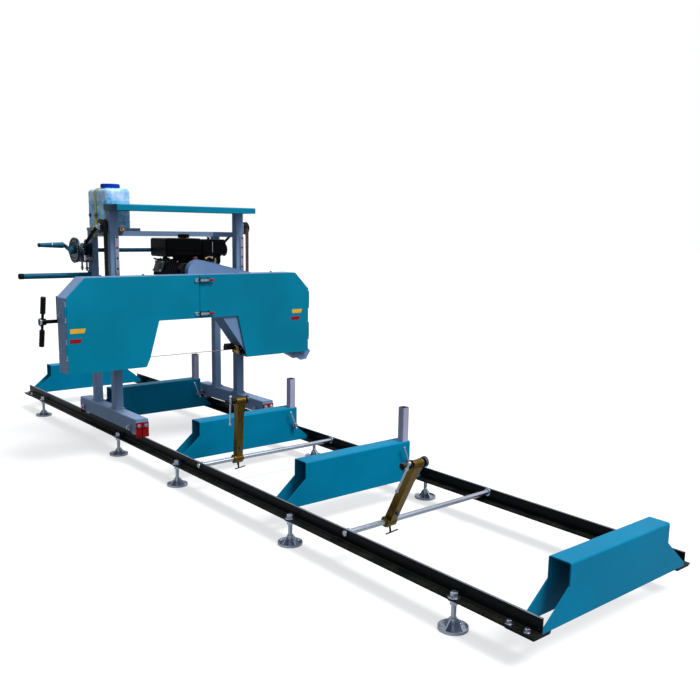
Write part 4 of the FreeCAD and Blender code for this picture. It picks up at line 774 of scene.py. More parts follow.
def carriage_hardware():
    """Washers and nuts of both axles, the webs that close the beams' ends, and the scrapers' bolts."""
    axles = {"front_axle": turns_at["front_axle_roll"], "rear_axle": turns_at["rear_axle_roll"]}
    washer = lathed("axle_washers", [(0.0138, 0), (0.0235, 0), (0.0245, 0.001), (0.0245, 0.0025),
                                     (0.0235, 0.0035), (0.0138, 0.0035)], 40)
    spots = [along((mid_x + s * (rail_x + k * 0.0401), p.y, p.z), (s * k, 0, 0)) for p in axles.values()
             for s in both for k in both]
    fixed(washer, spots, "carriage", case_paint)
    for name, p in axles.items():
        spots = [along((mid_x + s * (rail_x + k * 0.049), p.y, p.z), (s * k, 0, 0)) for s in both
                 for k in both]
        fixed(hex_bolt("%s_nuts" % name, 0.019, 0.001, 0.003), spots, name, zinc)
    web_low, web_high = high("rail_scrapers").z - 0.004, high("carriage_beams").z - 0.0055
    webs = [block("end_web", (mid_x + s * rail_x - 0.0345, min(y, y + e * 0.004), web_low),
                  (mid_x + s * rail_x + 0.0345, max(y, y + e * 0.004), web_high))
            for y, e in ((low("carriage_beams").y + 0.001, 1), (high("carriage_beams").y - 0.001, -1))
            for s in both]
    dress(soften(joined("end_webs", webs), 0.0008), "carriage", grey_paint)
    spots = [along((mid_x + s * rail_x + k * 0.022, y, high("rail_scrapers").z - 0.018), (0, e, 0))
             for y, e in ((low("rail_scrapers").y + 0.008, -1), (high("rail_scrapers").y - 0.008, 1))
             for s in both for k in both]
    fixed(hex_bolt("scraper_bolts", 0.0135, 0.0015), spots, "carriage", zinc)


def post_hardware():
    """Weld beads round the posts' feet, and the pulleys' nuts and spacers."""
    base = high("carriage_beams").z + 0.006
    beads = []
    for s in both:
        for x, y, w in (front_post, rear_post):
            beads += welded_round("post_welds", mid_x + s * x, y, base + 0.0005, w / 2, 0.0032)
    dress(joined("post_welds", beads), "carriage", grey_paint)
    x_out = high("lift_pulleys").x - mid_x + 0.006
    at = turns_at["pulley_turn"]
    fixed(hex_bolt("pulley_nuts", 0.022, 0.002, 0.005), [along((mid_x + s * x_out, at.y, at.z), (s, 0, 0))
                                                         for s in both], "carriage", zinc)
    collar = lathed("pulley_spacers", [(0.0085, 0), (0.016, 0), (0.017, 0.001), (0.017, 0.004),
                                       (0.0085, 0.0045)], 28)
    fixed(collar, [along((mid_x + s * 0.4775, at.y, at.z), (s, 0, 0)) for s in both], "carriage",
          zinc)


def pulley_faces():
    """Raised hubs and rims on both faces of each strap pulley."""
    at = turns_at["pulley_turn"]
    face = lathed("pulley_faces", [(0.0092, 0.0), (0.015, 0.0), (0.016, 0.0012), (0.0165, 0.0025),
                                   (0.030, 0.0015), (0.034, 0.0025), (0.0375, 0.0022), (0.038, 0.0)], 48)
    spots = [along((mid_x + s * (strap_x + k * 0.0169), at.y, at.z), (s * k, 0, 0)) for s in both
             for k in both]
    fixed(face, spots, "pulleys", black_plastic)


def cap_ribbed(rib, cap, count, out):
    """The rib made at the origin, repeated round a screw cap."""
    c, d = low(cap), high(cap)
    centre, r = (c + d) / 2, (d.x - c.x) / 2
    spots = []
    for k in range(count):
        turn = Matrix.Rotation(2 * math.pi * k / count, 4, "Z")
        spots.append(shift(centre.x, centre.y, c.z + 0.001) @ turn @ shift(0, r + out, 0))
    return placed(rib, spots)


def tank_fittings():
    """The brass outlet in front, a small blue plug on the left side, and the ribs of the screw cap."""
    tank_front = 0.8465
    tap = lathed("tank_outlet", [(0, 0), (0.008, 0), (0.008, 0.006), (0.0115, 0.007), (0.0115, 0.014),
                                 (0.007, 0.015), (0.0062, 0.024), (0.0075, 0.026), (0.0062, 0.028),
                                 (0.0062, 0.034), (0, 0.034)], 24)
    lever = soften(block("tank_outlet_lever", (0.002, -0.003, 0.016), (0.022, 0.003, 0.019)), 0.001)
    tap = joined("tank_outlet", [tap, lever])
    fixed(tap, [along((mid_x - 0.374, tank_front, 1.386), (0, -1, 0))], "carriage", gold_plate)
    plug = lathed("tank_plug", [(0, 0), (0.011, 0), (0.012, 0.001), (0.012, 0.005), (0.010, 0.007),
                                (0.006, 0.0075), (0, 0.0075)], 28)
    fixed(plug, [along((low("water_tank").x - 0.0002, 1.088, 1.470), (-1, 0, 0))], "carriage",
          cap_plastic)
    height = high("tank_cap").z - low("tank_cap").z
    rib = soften(block("cap_ribs", (-0.0016, -0.0012, 0), (0.0016, 0.0015, height - 0.006)), 0.0009, 1)
    dress(cap_ribbed(rib, "tank_cap", 36, 0.0004), "tank_lid", cap_plastic)


def tank_webbing():
    """The yellow strap: from under the tray's bar, up the tank's left side, over it and down to the tray."""
    a, b = low("tank_strap"), high("tank_strap")
    r, y = 0.026, (a.y + b.y) / 2
    x0, x1, top = a.x + 0.0015, b.x - 0.0015, b.z - 0.0015
    bar_low, lap_x, lap_r = 1.342, mid_x - 0.4775, 0.006
    bend = [on_circle(r, math.radians(t)) for t in (0, 15, 30, 45, 60, 75, 90)]
    points = [(mid_x - 0.425, bar_low - 0.004), (mid_x - 0.455, bar_low - 0.004)]
    points += [(lap_x - 0.004 + dx, bar_low + 0.001 + dz)
               for dx, dz in (on_circle(lap_r, math.radians(t)) for t in (-80, -130, -180))]
    points += [(lap_x - 0.010, 1.380), (lap_x - 0.009, 1.396), (x0 - 0.0005, 1.408)]
    points += [(x0 + r - c, top - r + d) for c, d in bend]
    points += [(x1 - r + d, top - r + c) for c, d in bend]
    points += [(x1, 1.40), (x1 + 0.004, 1.386), (x1 + 0.004, 1.3805)]
    band = strip("tank_webbing", points, strap_width, 0.0026)
    band.data.transform(Matrix(((0, 1, 0, 0), (1, 0, 0, y), (0, 0, 1, 0), (0, 0, 0, 1))))
    band.data.flip_normals()
    dress(band, "carriage", yellow_strap)
    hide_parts("tank_strap")
    plate = soften(block("strap_buckle", (x0 - 0.0055, y - 0.016, 1.452), (x0 - 0.0028, y + 0.016, 1.482)),
                   0.0012)
    cam = lathed("strap_cam", [(0, -0.018), (0.0048, -0.018), (0.0055, -0.016), (0.0055, 0.016),
                               (0.0048, 0.018), (0, 0.018)], 20)
    cam = placed(cam, [along((x0 - 0.0065, y, 1.468), (0, 1, 0))])
    dress(joined("strap_buckle", [plate, cam]), "carriage", clamp_plate_shaded)


# Lift

def winch_fittings():
    """The bracket's hanging bolts, the ratchet and pawl, the face's bolts, the crank's tip and ferrule."""
    shaft = turns_at["winch_turn"]
    frame_low = low("winch_frame").z
    rod = lathed("winch_bolts", [(0, 0.006), (0.006, 0.006), (0.006, -0.050), (0.0045, -0.052), (0, -0.052)],
                 16)
    nut = hex_bolt("winch_bolts_nut", 0.016, 0.002)
    nut_low = copied(nut, shift(0, 0, -0.040))
    nut.data.transform(shift(0, 0, 0.0045))
    one = joined("winch_bolts", [rod, nut, nut_low])
    fixed(one, [shift(mid_x - strap_x, y, frame_low) for y in (1.084, 1.160)], "carriage",
          winch_steel)
    gear = ratchet_teeth(bar("ratchet", (0, 0, 0), (0, 0, 0.006), 0.044, 24))
    fixed(gear, [along((mid_x - 0.5215, shaft.y, shaft.z), (1, 0, 0))], "winch_shaft", steel)
    pawl = soften(block("winch_pawl", (mid_x - 0.5225, shaft.y - 0.056, shaft.z + 0.022),
                        (mid_x - 0.5155, shaft.y - 0.044, shaft.z + 0.060)), 0.002)
    dress(pawl, "carriage", winch_steel)
    spots = [along((mid_x - 0.532, shaft.y + dy, shaft.z + dz), (-1, 0, 0))
             for dy, dz in ((-0.052, -0.060), (0.052, -0.060), (-0.050, -0.02), (0.050, -0.02))]
    fixed(hex_bolt("winch_face_bolts", 0.011, 0.0015), spots, "carriage", winch_steel)
    dy, dz = on_circle(0.104, math.radians(16))
    at = Vector((low("winch_crank").x, shaft.y + dy, shaft.z + dz))
    tip = lathed("crank_tip", [(0, -0.008), (0.0128, -0.008), (0.0132, -0.001), (0.0125, 0.002),
                               (0.009, 0.0035), (0, 0.004)], 32)
    fixed(tip, [along(at, (-1, 0, 0))], "winch_shaft", black_plastic)
    ferrule = lathed("crank_ferrule", [(0.0150, 0.0), (0.0166, 0.001), (0.0166, 0.004), (0.0150, 0.005)], 32)
    fixed(ferrule, [along(at + Vector((0.080, 0, 0)), (1, 0, 0))], "winch_shaft", zinc)


def ratchet_teeth(gear):
    """Draws every other corner of the rim inwards, which leaves saw teeth."""
    pitch = 2 * math.pi / 24
    open_to_edit(gear, gear.data.vertices, lambda v: round(math.atan2(v.co.y, v.co.x) / pitch) % 2 == 0)
    bpy.ops.transform.resize(value=(0.84, 0.84, 1))
    bpy.ops.object.mode_set(mode="OBJECT")
    return gear


def strap_touch():
    """The centres of pulley and drum in (y, z), and the turn at which the strap leaves one for the other."""
    pulley, drum = turns_at["pulley_turn"], turns_at["winch_turn"]
    dy, dz = drum.y - pulley.y, drum.z - pulley.z
    a = math.degrees(math.atan2(dz, dy) + math.acos((pulley_r - drum_r) / math.hypot(dy, dz)))
    return (pulley.y, pulley.z), (drum.y, drum.z), a


def lift_webbing():
    """Both straps: wound on the drum, over the pulley, then down to the head, sewn and clamped there."""
    pulley, drum, a = strap_touch()
    lift_top, lift_low = high("lift_straps").z, low("lift_straps").z
    rr, rw = pulley_r + 0.0004 + strap_t / 2, drum_r + 0.0004 + strap_t / 2
    y = pulley[0] - rr
    run = [(y, lift_top - (lift_top - lift_low) * k / 24) for k in range(25)]
    lap = [(y - strap_t - 0.0003, lift_low + 0.085 - 0.085 * k / 6) for k in range(7)]
    wound = arc(drum, rw, a - 330, a, 30) + arc(pulley, rr, a, 180, 12)
    fixed_runs, hanging = [], []
    for s, strap in ((-1, black_strap), (1, brown_strap)):
        x = mid_x + s * strap_x
        fixed_runs.append(strip("winch_webbing", wound, strap_width, strap_t, x))
        made = strip("lift_webbing", run, strap_width, strap_t, x)
        made = joined("lift_webbing", [made, strip("lift_webbing_lap", lap, strap_width, strap_t, x)])
        made.data.materials.clear()
        made.data.materials.append(strap)
        hanging.append(made)
    dress(joined("winch_webbing", fixed_runs), "carriage", black_strap)
    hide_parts("winch_straps")
    piece = joined("lift_webbing", hanging)
    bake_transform(piece)
    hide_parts("lift_straps")
    clamp = soften(block("strap_clamps", (-0.019, -0.006, -0.022), (0.019, -0.002, 0.0)), 0.0012)
    bolts = placed(hex_bolt("strap_clamp_bolts", 0.008, 0.001),
                   [along((k * 0.0135, -0.006, -0.011), (0, -1, 0)) for k in both])
    one = joined("strap_clamps", [clamp, bolts])
    clamp_y = pulley[0] - pulley_r - 0.006
    fixed(one, [shift(mid_x + s * strap_x, clamp_y, lift_low - 0.0002) for s in both], "head", zinc)


# Cutting head

def case_fasteners():
    """Bolts down the case's side walls and along its top, and the pins' heads of the door hinges."""
    back, hinge_y = high("cover_case").y, turns_at["left_door_swing"].y
    left, right = mid_x - 0.846, mid_x + 0.841
    spots = [along((x, back - 0.035, z), (s, 0, 0)) for z in (0.687, 0.900)
             for x, s in ((left, -1), (right, 1))]
    spots += [along((mid_x + x, back - 0.040, high("left_door").z), (0, 0, 1))
              for x in (-0.60, -0.33, 0.33, 0.60)]
    fixed(hex_bolt("case_bolts", 0.012, 0.0015), spots, "head", zinc)
    cap = lathed("hinge_caps", [(0, 0), (0.0052, 0), (0.0062, 0.001), (0.0058, 0.0026), (0.003, 0.0034),
                                (0, 0.0036)], 24)
    spots = []
    for x in (left - 0.0055, right + 0.0055):
        for z in (0.680, 0.895):
            spots += [shift(x, hinge_y, z + 0.086), shift(x, hinge_y, z - 0.026) @ down]
    fixed(cap, spots, "head", zinc)


def latch_fittings():
    """Red sleeves on the levers, black pads and rivets under them, and the keepers on the left door."""
    for name in ("upper_latch", "lower_latch"):
        at = turns_at[name + "_turn"]
        x, y, z = at.x, at.y, at.z
        sleeve = block(name + "_tip", (x + 0.052, y - 0.0072, z - 0.0082),
                       (x + 0.090, y + 0.0018, z + 0.0082))
        taper_end(sleeve, x + 0.090, 0.72, Vector((x + 0.09, y - 0.0027, z)))
        dress(soften(sleeve, 0.0022, 3), name, red_plastic)
        pad = soften(block(name + "_pad", (x - 0.012, y + 0.0100, z - 0.0150),
                           (x + 0.058, y + 0.0125, z + 0.0150)), 0.0009)
        dress(pad, "right_door", black_plastic)
        rivet = lathed(name + "_rivets", [(0, 0), (0.0032, 0), (0.0032, 0.0008), (0.0022, 0.0018),
                                          (0, 0.0021)], 16)
        spots = [along((x + dx, y + 0.008, z + dz), (0, -1, 0))
                 for dx in (0.020, 0.033) for dz in (-0.0085, 0.0085)]
        fixed(rivet, spots, "right_door", chrome)
        keeper = soften(block(name + "_keeper", (x - 0.0425, y + 0.0065, z - 0.0115),
                              (x - 0.0145, y + 0.0085, z + 0.0115)), 0.0008)
        rivet = lathed(name + "_keeper_rivets", [(0, 0), (0.0028, 0), (0.0028, 0.0006), (0.0018, 0.0015),
                                                 (0, 0.0017)], 16)
        rivets = placed(rivet, [along((x - 0.0375, y + 0.0066, z + dz), (0, -1, 0))
                                for dz in (-0.006, 0.006)])
        dress(joined(name + "_keeper", [keeper, rivets]), "left_door", chrome)


def taper_end(piece, x_end, keep, pivot):
    """Draws the corners at one end together."""
    open_to_edit(piece, piece.data.vertices, lambda v: abs(v.co.x - x_end) < 0.0005)
    bpy.ops.transform.resize(value=(1, keep, keep), center_override=pivot)
    bpy.ops.object.mode_set(mode="OBJECT")


def door_markers():
    """Plain bright patches near the hinged edges of both doors, slanted at one end."""
    looks = {"yellow": (0.026, 0.010, "strap_yellow", marker_yellow),
             "red": (0.024, 0.008, "scraper_red", marker_red)}
    for side, x0, x1, z, colour in (("left", -0.830, -0.738, 0.815, "yellow"),
                                    ("left", -0.833, -0.764, 0.758, "red"),
                                    ("right", 0.704, 0.788, 0.852, "yellow"),
                                    ("right", 0.696, 0.772, 0.804, "red")):
        h, slant, slot, finish = looks[colour]
        patch = block("marker_%s_%s" % (side, colour), (mid_x + x0, door_face - 0.0007, z - h / 2),
                      (mid_x + x1, door_face - 0.00005, z + h / 2))
        slide_corner(patch, mid_x + x1, slant)
        dress(soften(patch, 0.0003, 1), side + "_door", finish)


def slide_corner(piece, x_end, by):
    """Slides the lower corners at one end along X, so the end slants."""
    mid_z = sum(v.co.z for v in piece.data.vertices) / 8
    open_to_edit(piece, piece.data.vertices, lambda v: abs(v.co.x - x_end) < 0.0005 and v.co.z < mid_z)
    bpy.ops.transform.translate(value=(-by, 0, 0))
    bpy.ops.object.mode_set(mode="OBJECT")


def band_point(s, r, xl, xr, z):
    """A place on the loop of the band, s along it from the lower left, and its outward way."""
    run, half = xr - xl, math.pi * r
    s = s % (2 * run + 2 * half)
    if s < run:
        return (xl + s, z - r), (0, -1)
    if run + half <= s < 2 * run + half:
        return (xr - (s - run - half), z + r), (0, 1)
    if s < run + half:
        centre, t = xr, -math.pi / 2 + (s - run) / r
    else:
        centre, t = xl, math.pi / 2 + (s - 2 * run - half) / r
    return (centre + r * math.cos(t), z + r * math.sin(t)), (math.cos(t), math.sin(t))


def toothed_band():
    """The saw band with its teeth along the front edge, set to either side in turn."""
    a, b = low("saw_band"), high("saw_band")
    r, t = (b.z - a.z) / 2, 0.0011
    z, xl, xr = (a.z + b.z) / 2, a.x + r, b.x - r
    loop = 2 * (xr - xl) + 2 * math.pi * (r - t / 2)
    teeth = 166
    clear_selection()
    bpy.ops.mesh.primitive_grid_add(x_subdivisions=teeth * 2, y_subdivisions=2, size=1)
    piece = bpy.context.object
    back, root, tip = b.y, a.y + 0.006, a.y
    mesh = piece.data
    for v in mesh.vertices:
        k = round((v.co.x + 0.5) * teeth * 2)
        s = loop * k / (teeth * 2)
        row = round((v.co.y + 0.5) * 2)
        y = {2: back, 1: root + 0.004, 0: tip if k % 2 else root}[row]
        lean = 0.004 if row == 0 and k % 2 else 0.0
        (px, pz), (nx, nz) = band_point(s - lean, r - t / 2, xl, xr, z)
        out = 0.0005 * (1 if k % 4 == 1 else -1) if row == 0 and k % 2 else 0.0
        v.co = Vector((px + nx * out, y, pz + nz * out))
    bpy.ops.object.mode_set(mode="EDIT")
    bpy.ops.mesh.select_all(action="SELECT")
    bpy.ops.mesh.remove_doubles(threshold=0.00005)
    close_outwards()
    piece.name = mesh.name = "toothed_band"
    m = piece.modifiers.new("thickness", "SOLIDIFY")
    m.thickness, m.offset = t * 0.9, 0
    bpy.ops.object.modifier_apply(modifier=m.name)
    bpy.ops.object.shade_smooth_by_angle(angle=math.radians(25))
    dress(piece, "head", blade_steel)
    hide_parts("saw_band")


def wheel_fittings():
    """Each saw wheel's hub bolts and the dust groove of its rim, and the drive wheel's nut."""
    for body in ("drive", "idler"):
        at = turns_at[body + "_spin"]
        node = body + "_wheel"
        bolt = hex_bolt(node + "_bolts", 0.010, 0.001)
        spots = []
        for k in range(5):
            dx, dz = on_circle(0.0305, 2 * math.pi * k / 5)
            spots.append(along((at.x + dx, wheel_front, at.z + dz), (0, -1, 0)))
        fixed(bolt, spots, body, zinc)
        bead = ring(node + "_rim", (at.x, wheel_front + 0.006, at.z), (0, 1, 0), 0.2265, 0.0016, 96, 8)
        dress(bead, body, iron)
    at = turns_at["drive_spin"]
    cap = hex_bolt("drive_wheel_nut", 0.030, 0.003, 0.006)
    fixed(cap, [along((at.x, wheel_front, at.z), (0, -1, 0))], "drive", zinc)


def guide_fittings():
    """Faces and bolts of the two rollers, and the bolts of the guide block."""
    for name in ("upper_roller", "lower_roller"):
        at = turns_at[name + "_spin"]
        y = low(name).y
        face = lathed(name + "_face", [(0.0055, 0), (0.0075, 0.0), (0.0085, 0.0008), (0.0118, 0.0008),
                                       (0.0128, 0.0), (0.0128, -0.001), (0.0055, -0.001)], 40)
        fixed(face, [along((at.x, y + 0.0002, at.z), (0, -1, 0))], name, gold_plate)
        bolt = lathed(name + "_bolt", [(0, 0.0), (0.0026, 0.0), (0.0032, 0.0022), (0.0052, 0.0022),
                                       (0.0056, 0.0016), (0.0056, 0.0), (0.0048, -0.0004), (0, -0.0004)], 24)
        fixed(bolt, [along((at.x, y - 0.0018, at.z), (0, -1, 0))], "head", zinc)
    top = turns_at["upper_roller_spin"]
    bolt = hex_bolt("guide_bolts", 0.010, 0.001)
    spots = [along((top.x + dx, 0.596, top.z + dz), (0, -1, 0))
             for dx, dz in ((-0.070, 0.006), (-0.045, 0.006))]
    spots += [along((top.x + 0.027, 0.598, top.z - 0.048), (0, -1, 0))]
    fixed(bolt, spots, "head", black_paint)


def belt_guard_fittings():
    """Bolts round the back of the belt guard, near both pulleys."""
    spots = []
    for at, r, turns in ((turns_at["engine_spin"], 0.082 - 0.014, (1.6, 2.6, 3.7)),
                         (turns_at["drive_spin"], 0.231 - 0.016, (0.9, 0.0, -0.9, -1.8))):
        for t in turns:
            dx, dz = on_circle(r, t)
            spots.append(along((at.x + dx, high("belt_guard").y, at.z + dz), (0, 1, 0)))
    fixed(hex_bolt("guard_bolts", 0.012, 0.0015), spots, "head", zinc)


def tension_grips():
    """Rubber ribs on both arms of the tensioning handle, and the six-sided collar on its hub."""
    at = turns_at["tension_turn"]
    x = mid_x - 0.925
    lean = math.radians(12.5)
    way = Vector((0, -math.sin(lean), math.cos(lean)))
    rib = lathed("tension_grips", [(0.0140, -0.0035), (0.0152, -0.0026), (0.0156, 0), (0.0152, 0.0026),
                                   (0.0140, 0.0035)], 32)
    spots = [along(Vector((x, at.y, at.z)) + way * s * (0.0555 + 0.0108 * k), way) for s in both
             for k in range(9)]
    fixed(rib, spots, "tension_screw", rubber)
    nut = bar("tension_nut", (x - 0.0179, at.y, at.z), (x - 0.0070, at.y, at.z), 0.0245, 6)
    dress(soften(nut, 0.0015, 3), "tension_screw", zinc)


def chute_bolts():
    """Two bolts through the chute's front, painted with it."""
    spots = [along((mid_x + x, low("sawdust_chute").y, 0.553), (0, -1, 0)) for x in (0.742, 0.800)]
    fixed(hex_bolt("chute_bolts", 0.009, 0.001), spots, "head", case_paint)


def hose(name, points, radius):
    """A smooth round lead or hose through points."""
    clear_selection()
    bpy.ops.curve.primitive_bezier_curve_add(location=(0, 0, 0))
    piece = bpy.context.object
    spline = piece.data.splines[0]
    spline.bezier_points.add(len(points) - 2)
    for knot, place in zip(spline.bezier_points, points):
        knot.co = place
        knot.handle_left_type = knot.handle_right_type = "AUTO"
    piece.data.bevel_depth, piece.data.bevel_resolution, piece.data.resolution_u = radius, 3, 8
    piece.data.use_fill_caps = True
    bpy.ops.object.convert(target="MESH")
    piece.name = piece.data.name = name
    bpy.ops.object.shade_smooth_by_angle(angle=math.radians(50))
    return piece


def coil(name, start, end, radius, wire, turns):
    """A helical spring between two points."""
    length = (Vector(end) - Vector(start)).length
    clear_selection()
    bpy.ops.mesh.primitive_circle_add(vertices=8, radius=wire, location=(radius, 0, 0),
                                      rotation=(math.pi / 2, 0, 0))
    piece = tidy_added(name)
    piece.data.transform(shift(0, 0, wire))
    m = piece.modifiers.new("turns", "SCREW")
    m.iterations, m.steps, m.render_steps, m.screw_offset = turns, 14, 14, (length - 2 * wire) / turns
    bpy.ops.object.modifier_apply(modifier=m.name)
    bpy.ops.object.shade_smooth_by_angle(angle=math.radians(50))
    piece.data.transform(along(start, Vector(end) - Vector(start)))
    return piece


def pierced(piece, cutters):
    """Cuts away the space of the cutters, which then go."""
    tool = joined("cutter", cutters)
    hold(piece)
    m = piece.modifiers.new("holes", "BOOLEAN")
    m.operation, m.solver, m.object = "DIFFERENCE", "EXACT", tool
    bpy.ops.object.modifier_apply(modifier=m.name)
    bpy.data.objects.remove(tool)
    return piece


def rail_edge_highlights():
    """A strip of bright bare steel along the top of each rail's web: a painted highlight along that edge."""
    top, end = rail_top, high("rails").y - 0.0005
    edges = []
    for s in both:
        x = mid_x + s * rail_x
        edges.append(soften(block("rail_edge_highlights", (x - 0.00315, -end, top - 0.0028),
                                  (x + 0.00315, end, top + 0.00012)), 0.0007))
    dress(joined("rail_edge_highlights", edges), "track", edge_highlight_steel)


def strip_faces():
    """The plated strips on both front posts, with their row of holes, and black discs set inside the holes as
    painted shade.
    """
    strip_low, strip_high, pitch, strip_front = 0.600, 1.345, 0.063, 0.7795
    faces, hole_shade = [], []
    zs = [strip_high - 0.008 - pitch * k for k in range(17)]
    zs = [z for z in zs if z > strip_low + 0.01]
    for s in both:
        x = mid_x + s * front_post[0] + 0.014
        face = block("strip_faces", (x - 0.0118, strip_front - 0.0005, strip_low + 0.0005),
                     (x + 0.0118, strip_front + 0.0003, strip_high - 0.0005))
        cutters = [bar("hole", (x, strip_front - 0.002, z), (x, strip_front + 0.002, z), 0.0066, 24)
                   for z in zs]
        faces.append(pierced(face, cutters))
        # Black discs just inside each hole: painted shade for the dark inside of the holes.
        hole_shade += [bar("strip_hole_shade", (x, strip_front - 0.0003, z), (x, strip_front + 0.0038, z), 0.0064, 24)
                 for z in zs]
    dress(joined("strip_faces", faces), "carriage", strip_steel)
    dress(joined("strip_hole_shade", hole_shade), "carriage", black_plastic)


def beam_ends():
    """Plates that close the top beam's ends, in a darker teal that is painted shade on those ends, round bolt
    heads above the posts and a rear post's seam.
    """
    a, b = low("top_beam"), high("top_beam")
    ends = [soften(block("beam_ends", (x + k * 0.0002, a.y + 0.0055, a.z + 0.0005),
                         (x + k * 0.0032, b.y - 0.0055, b.z - 0.0055)), 0.0008)
            for x, k in ((a.x, 1), (b.x, -1))]
    dress(joined("beam_ends", ends), "carriage", end_shade_paint)
    button = lathed("top_beam_bolts", [(0, 0), (0.009, 0), (0.0085, 0.002), (0.006, 0.0038), (0.003, 0.0044),
                                       (0.003, 0.003), (0, 0.003)], 24)
    spots = [shift(mid_x + s * front_post[0] + k * 0.018, front_post[1], b.z) for s in both for k in both]
    fixed(button, spots, "carriage", teal_paint)
    seam = welded_round("post_seam", mid_x - rear_post[0], rear_post[1], 1.135, 0.0258, 0.0022)
    dress(joined("post_seam", seam), "carriage", grey_paint)


def guard_front():
    """The plate that closes the belt guard's front, drawn round both pulleys, with the shaft's hole."""
    e, w = turns_at["engine_spin"], turns_at["drive_spin"]
    small, large = 0.0785, 0.2275
    face = low("belt_guard").y + 0.0013
    piece = bar("guard_front", (0, 0, -0.00075), (0, 0, 0.00075), 1.0, 200)
    for v in piece.data.vertices:
        way = Vector((v.co.x, 0, v.co.y)).normalized()
        centre, r = max(((e, small), (w, large)), key=lambda c: c[0].dot(way) + c[1])
        v.co = Vector((centre.x, face + v.co.z, centre.z)) + way * r
    hold(piece)
    bpy.ops.object.mode_set(mode="EDIT")
    close_outwards()
    pierced(piece, [bar("hole", (w.x, face - 0.01, w.z), (w.x, face + 0.01, w.z), 0.045, 48)])
    dress(soften(piece, 0.0005, 1), "head", case_paint)


def handle_cap():
    """A black plug over the open end of the push handle's bar."""
    bar_y, bar_z, r = rear_post[1], 1.096, 0.0170
    plug = lathed("handle_cap", [(0, 0), (r - 0.004, 0), (r - 0.001, 0.0012), (r + 0.0009, 0.004),
                                 (r + 0.0009, 0.026), (r + 0.0001, 0.028), (r + 0.0001, 0.020)], 40)
    fixed(plug, [along((low("push_handle").x - 0.0012, bar_y, bar_z), (1, 0, 0))], "carriage",
          rubber)


def winch_rim():
    """A dark rim round the winch's ratchet disc and pale rivets in its ring of holes."""
    at = turns_at["winch_turn"]
    holes, holes_r = 20, 0.058
    rim = ring("winch_rim", (mid_x - 0.5680, at.y, at.z), (1, 0, 0), 0.0755, 0.0045, 60, 12)
    band = lathed("winch_band", [(0.046, 0), (0.0685, 0), (0.0685, 0.0005), (0.046, 0.0005), (0.046, 0)], 60)
    rim = joined("winch_rim", [rim, placed(band, [along((mid_x - 0.5700, at.y, at.z), (-1, 0, 0))])])
    dress(rim, "carriage", black_paint)
    rivet = lathed("winch_rivets", [(0, -0.003), (0.0040, -0.003), (0.0040, 0.0004), (0.003, 0.0012),
                                    (0, 0.0015)], 16)
    spots = []
    for k in range(holes):
        dy, dz = on_circle(holes_r, 2 * math.pi * k / holes)
        spots.append(along((mid_x - 0.5705, at.y + dy, at.z + dz), (-1, 0, 0)))
    fixed(rivet, spots, "carriage", zinc)


# Engine

def barrel_frame():
    """Carries what is drawn on a level barrel to the barrel as it leans, about the case's left wall."""
    return shift(case_left, 0, 1.126) @ Matrix.Rotation(math.radians(18), 4, "Y")


def valve_cover():
    """The cover on the barrel's end, with its boss and four bolts."""
    tilt = barrel_frame()
    cover = soften(block("valve_cover", (-0.1045, 0.790, -0.036), (-0.0915, 0.903, 0.036)), 0.005, 3)
    boss = soften(block("valve_cover_boss", (-0.1075, 0.815, -0.018), (-0.1035, 0.878, 0.018)), 0.003, 3)
    cover = joined("valve_cover", [cover, boss])
    cover.data.transform(tilt)
    dress(cover, "head", dark_alloy)
    bolt = hex_bolt("valve_cover_bolts", 0.009, 0.001)
    spots = [tilt @ along((-0.1045, y, z), (-1, 0, 0)) for y in (0.799, 0.894) for z in (-0.028, 0.028)]
    fixed(bolt, spots, "head", zinc)


def spark_plug():
    """The plug on the barrel's front corner, its rubber cap and the lead that runs back to the coil."""
    tilt = barrel_frame()
    at, way = Vector((-0.088, 0.776, 0.020)), Vector((-0.35, -1, 0.25)).normalized()
    plug = lathed("spark_plug", [(0, 0), (0.0085, 0), (0.0085, 0.009), (0.0055, 0.010), (0.0055, 0.022),
                                 (0, 0.022)], 6)
    fixed(plug, [tilt @ along(at, way)], "head", zinc)
    cap = lathed("plug_cap", [(0, 0.010), (0.0085, 0.010), (0.0092, 0.013), (0.0082, 0.016), (0.0078, 0.030),
                              (0.0090, 0.033), (0.0085, 0.041), (0.005, 0.045), (0, 0.046)], 24)
    fixed(cap, [tilt @ along(at, way)], "head", rubber)
    tip = tilt @ (at + way * 0.042)
    lead = hose("plug_lead", [tip, tip + Vector((-0.012, 0.004, 0.006)), (-0.108, 0.790, 1.196),
                              (-0.112, 0.860, 1.206), (-0.085, 0.925, 1.200), (-0.020, 0.940, 1.178)], 0.0030)
    dress(lead, "head", rubber)


def fin_shroud():
    """The pressed sheet over the barrel, with its bolts."""
    tilt = barrel_frame()
    sheet = soften(block("fin_shroud", (-0.078, 0.774, 0.0545), (-0.004, 0.919, 0.0562)), 0.0007)
    sheet.data.transform(tilt)
    dress(sheet, "head", engine_black)
    bolt = hex_bolt("fin_shroud_bolts", 0.008, 0.001)
    spots = [tilt @ shift(x, y, 0.0562) for x in (-0.070, -0.014) for y in (0.782, 0.911)]
    fixed(bolt, spots, "head", zinc)


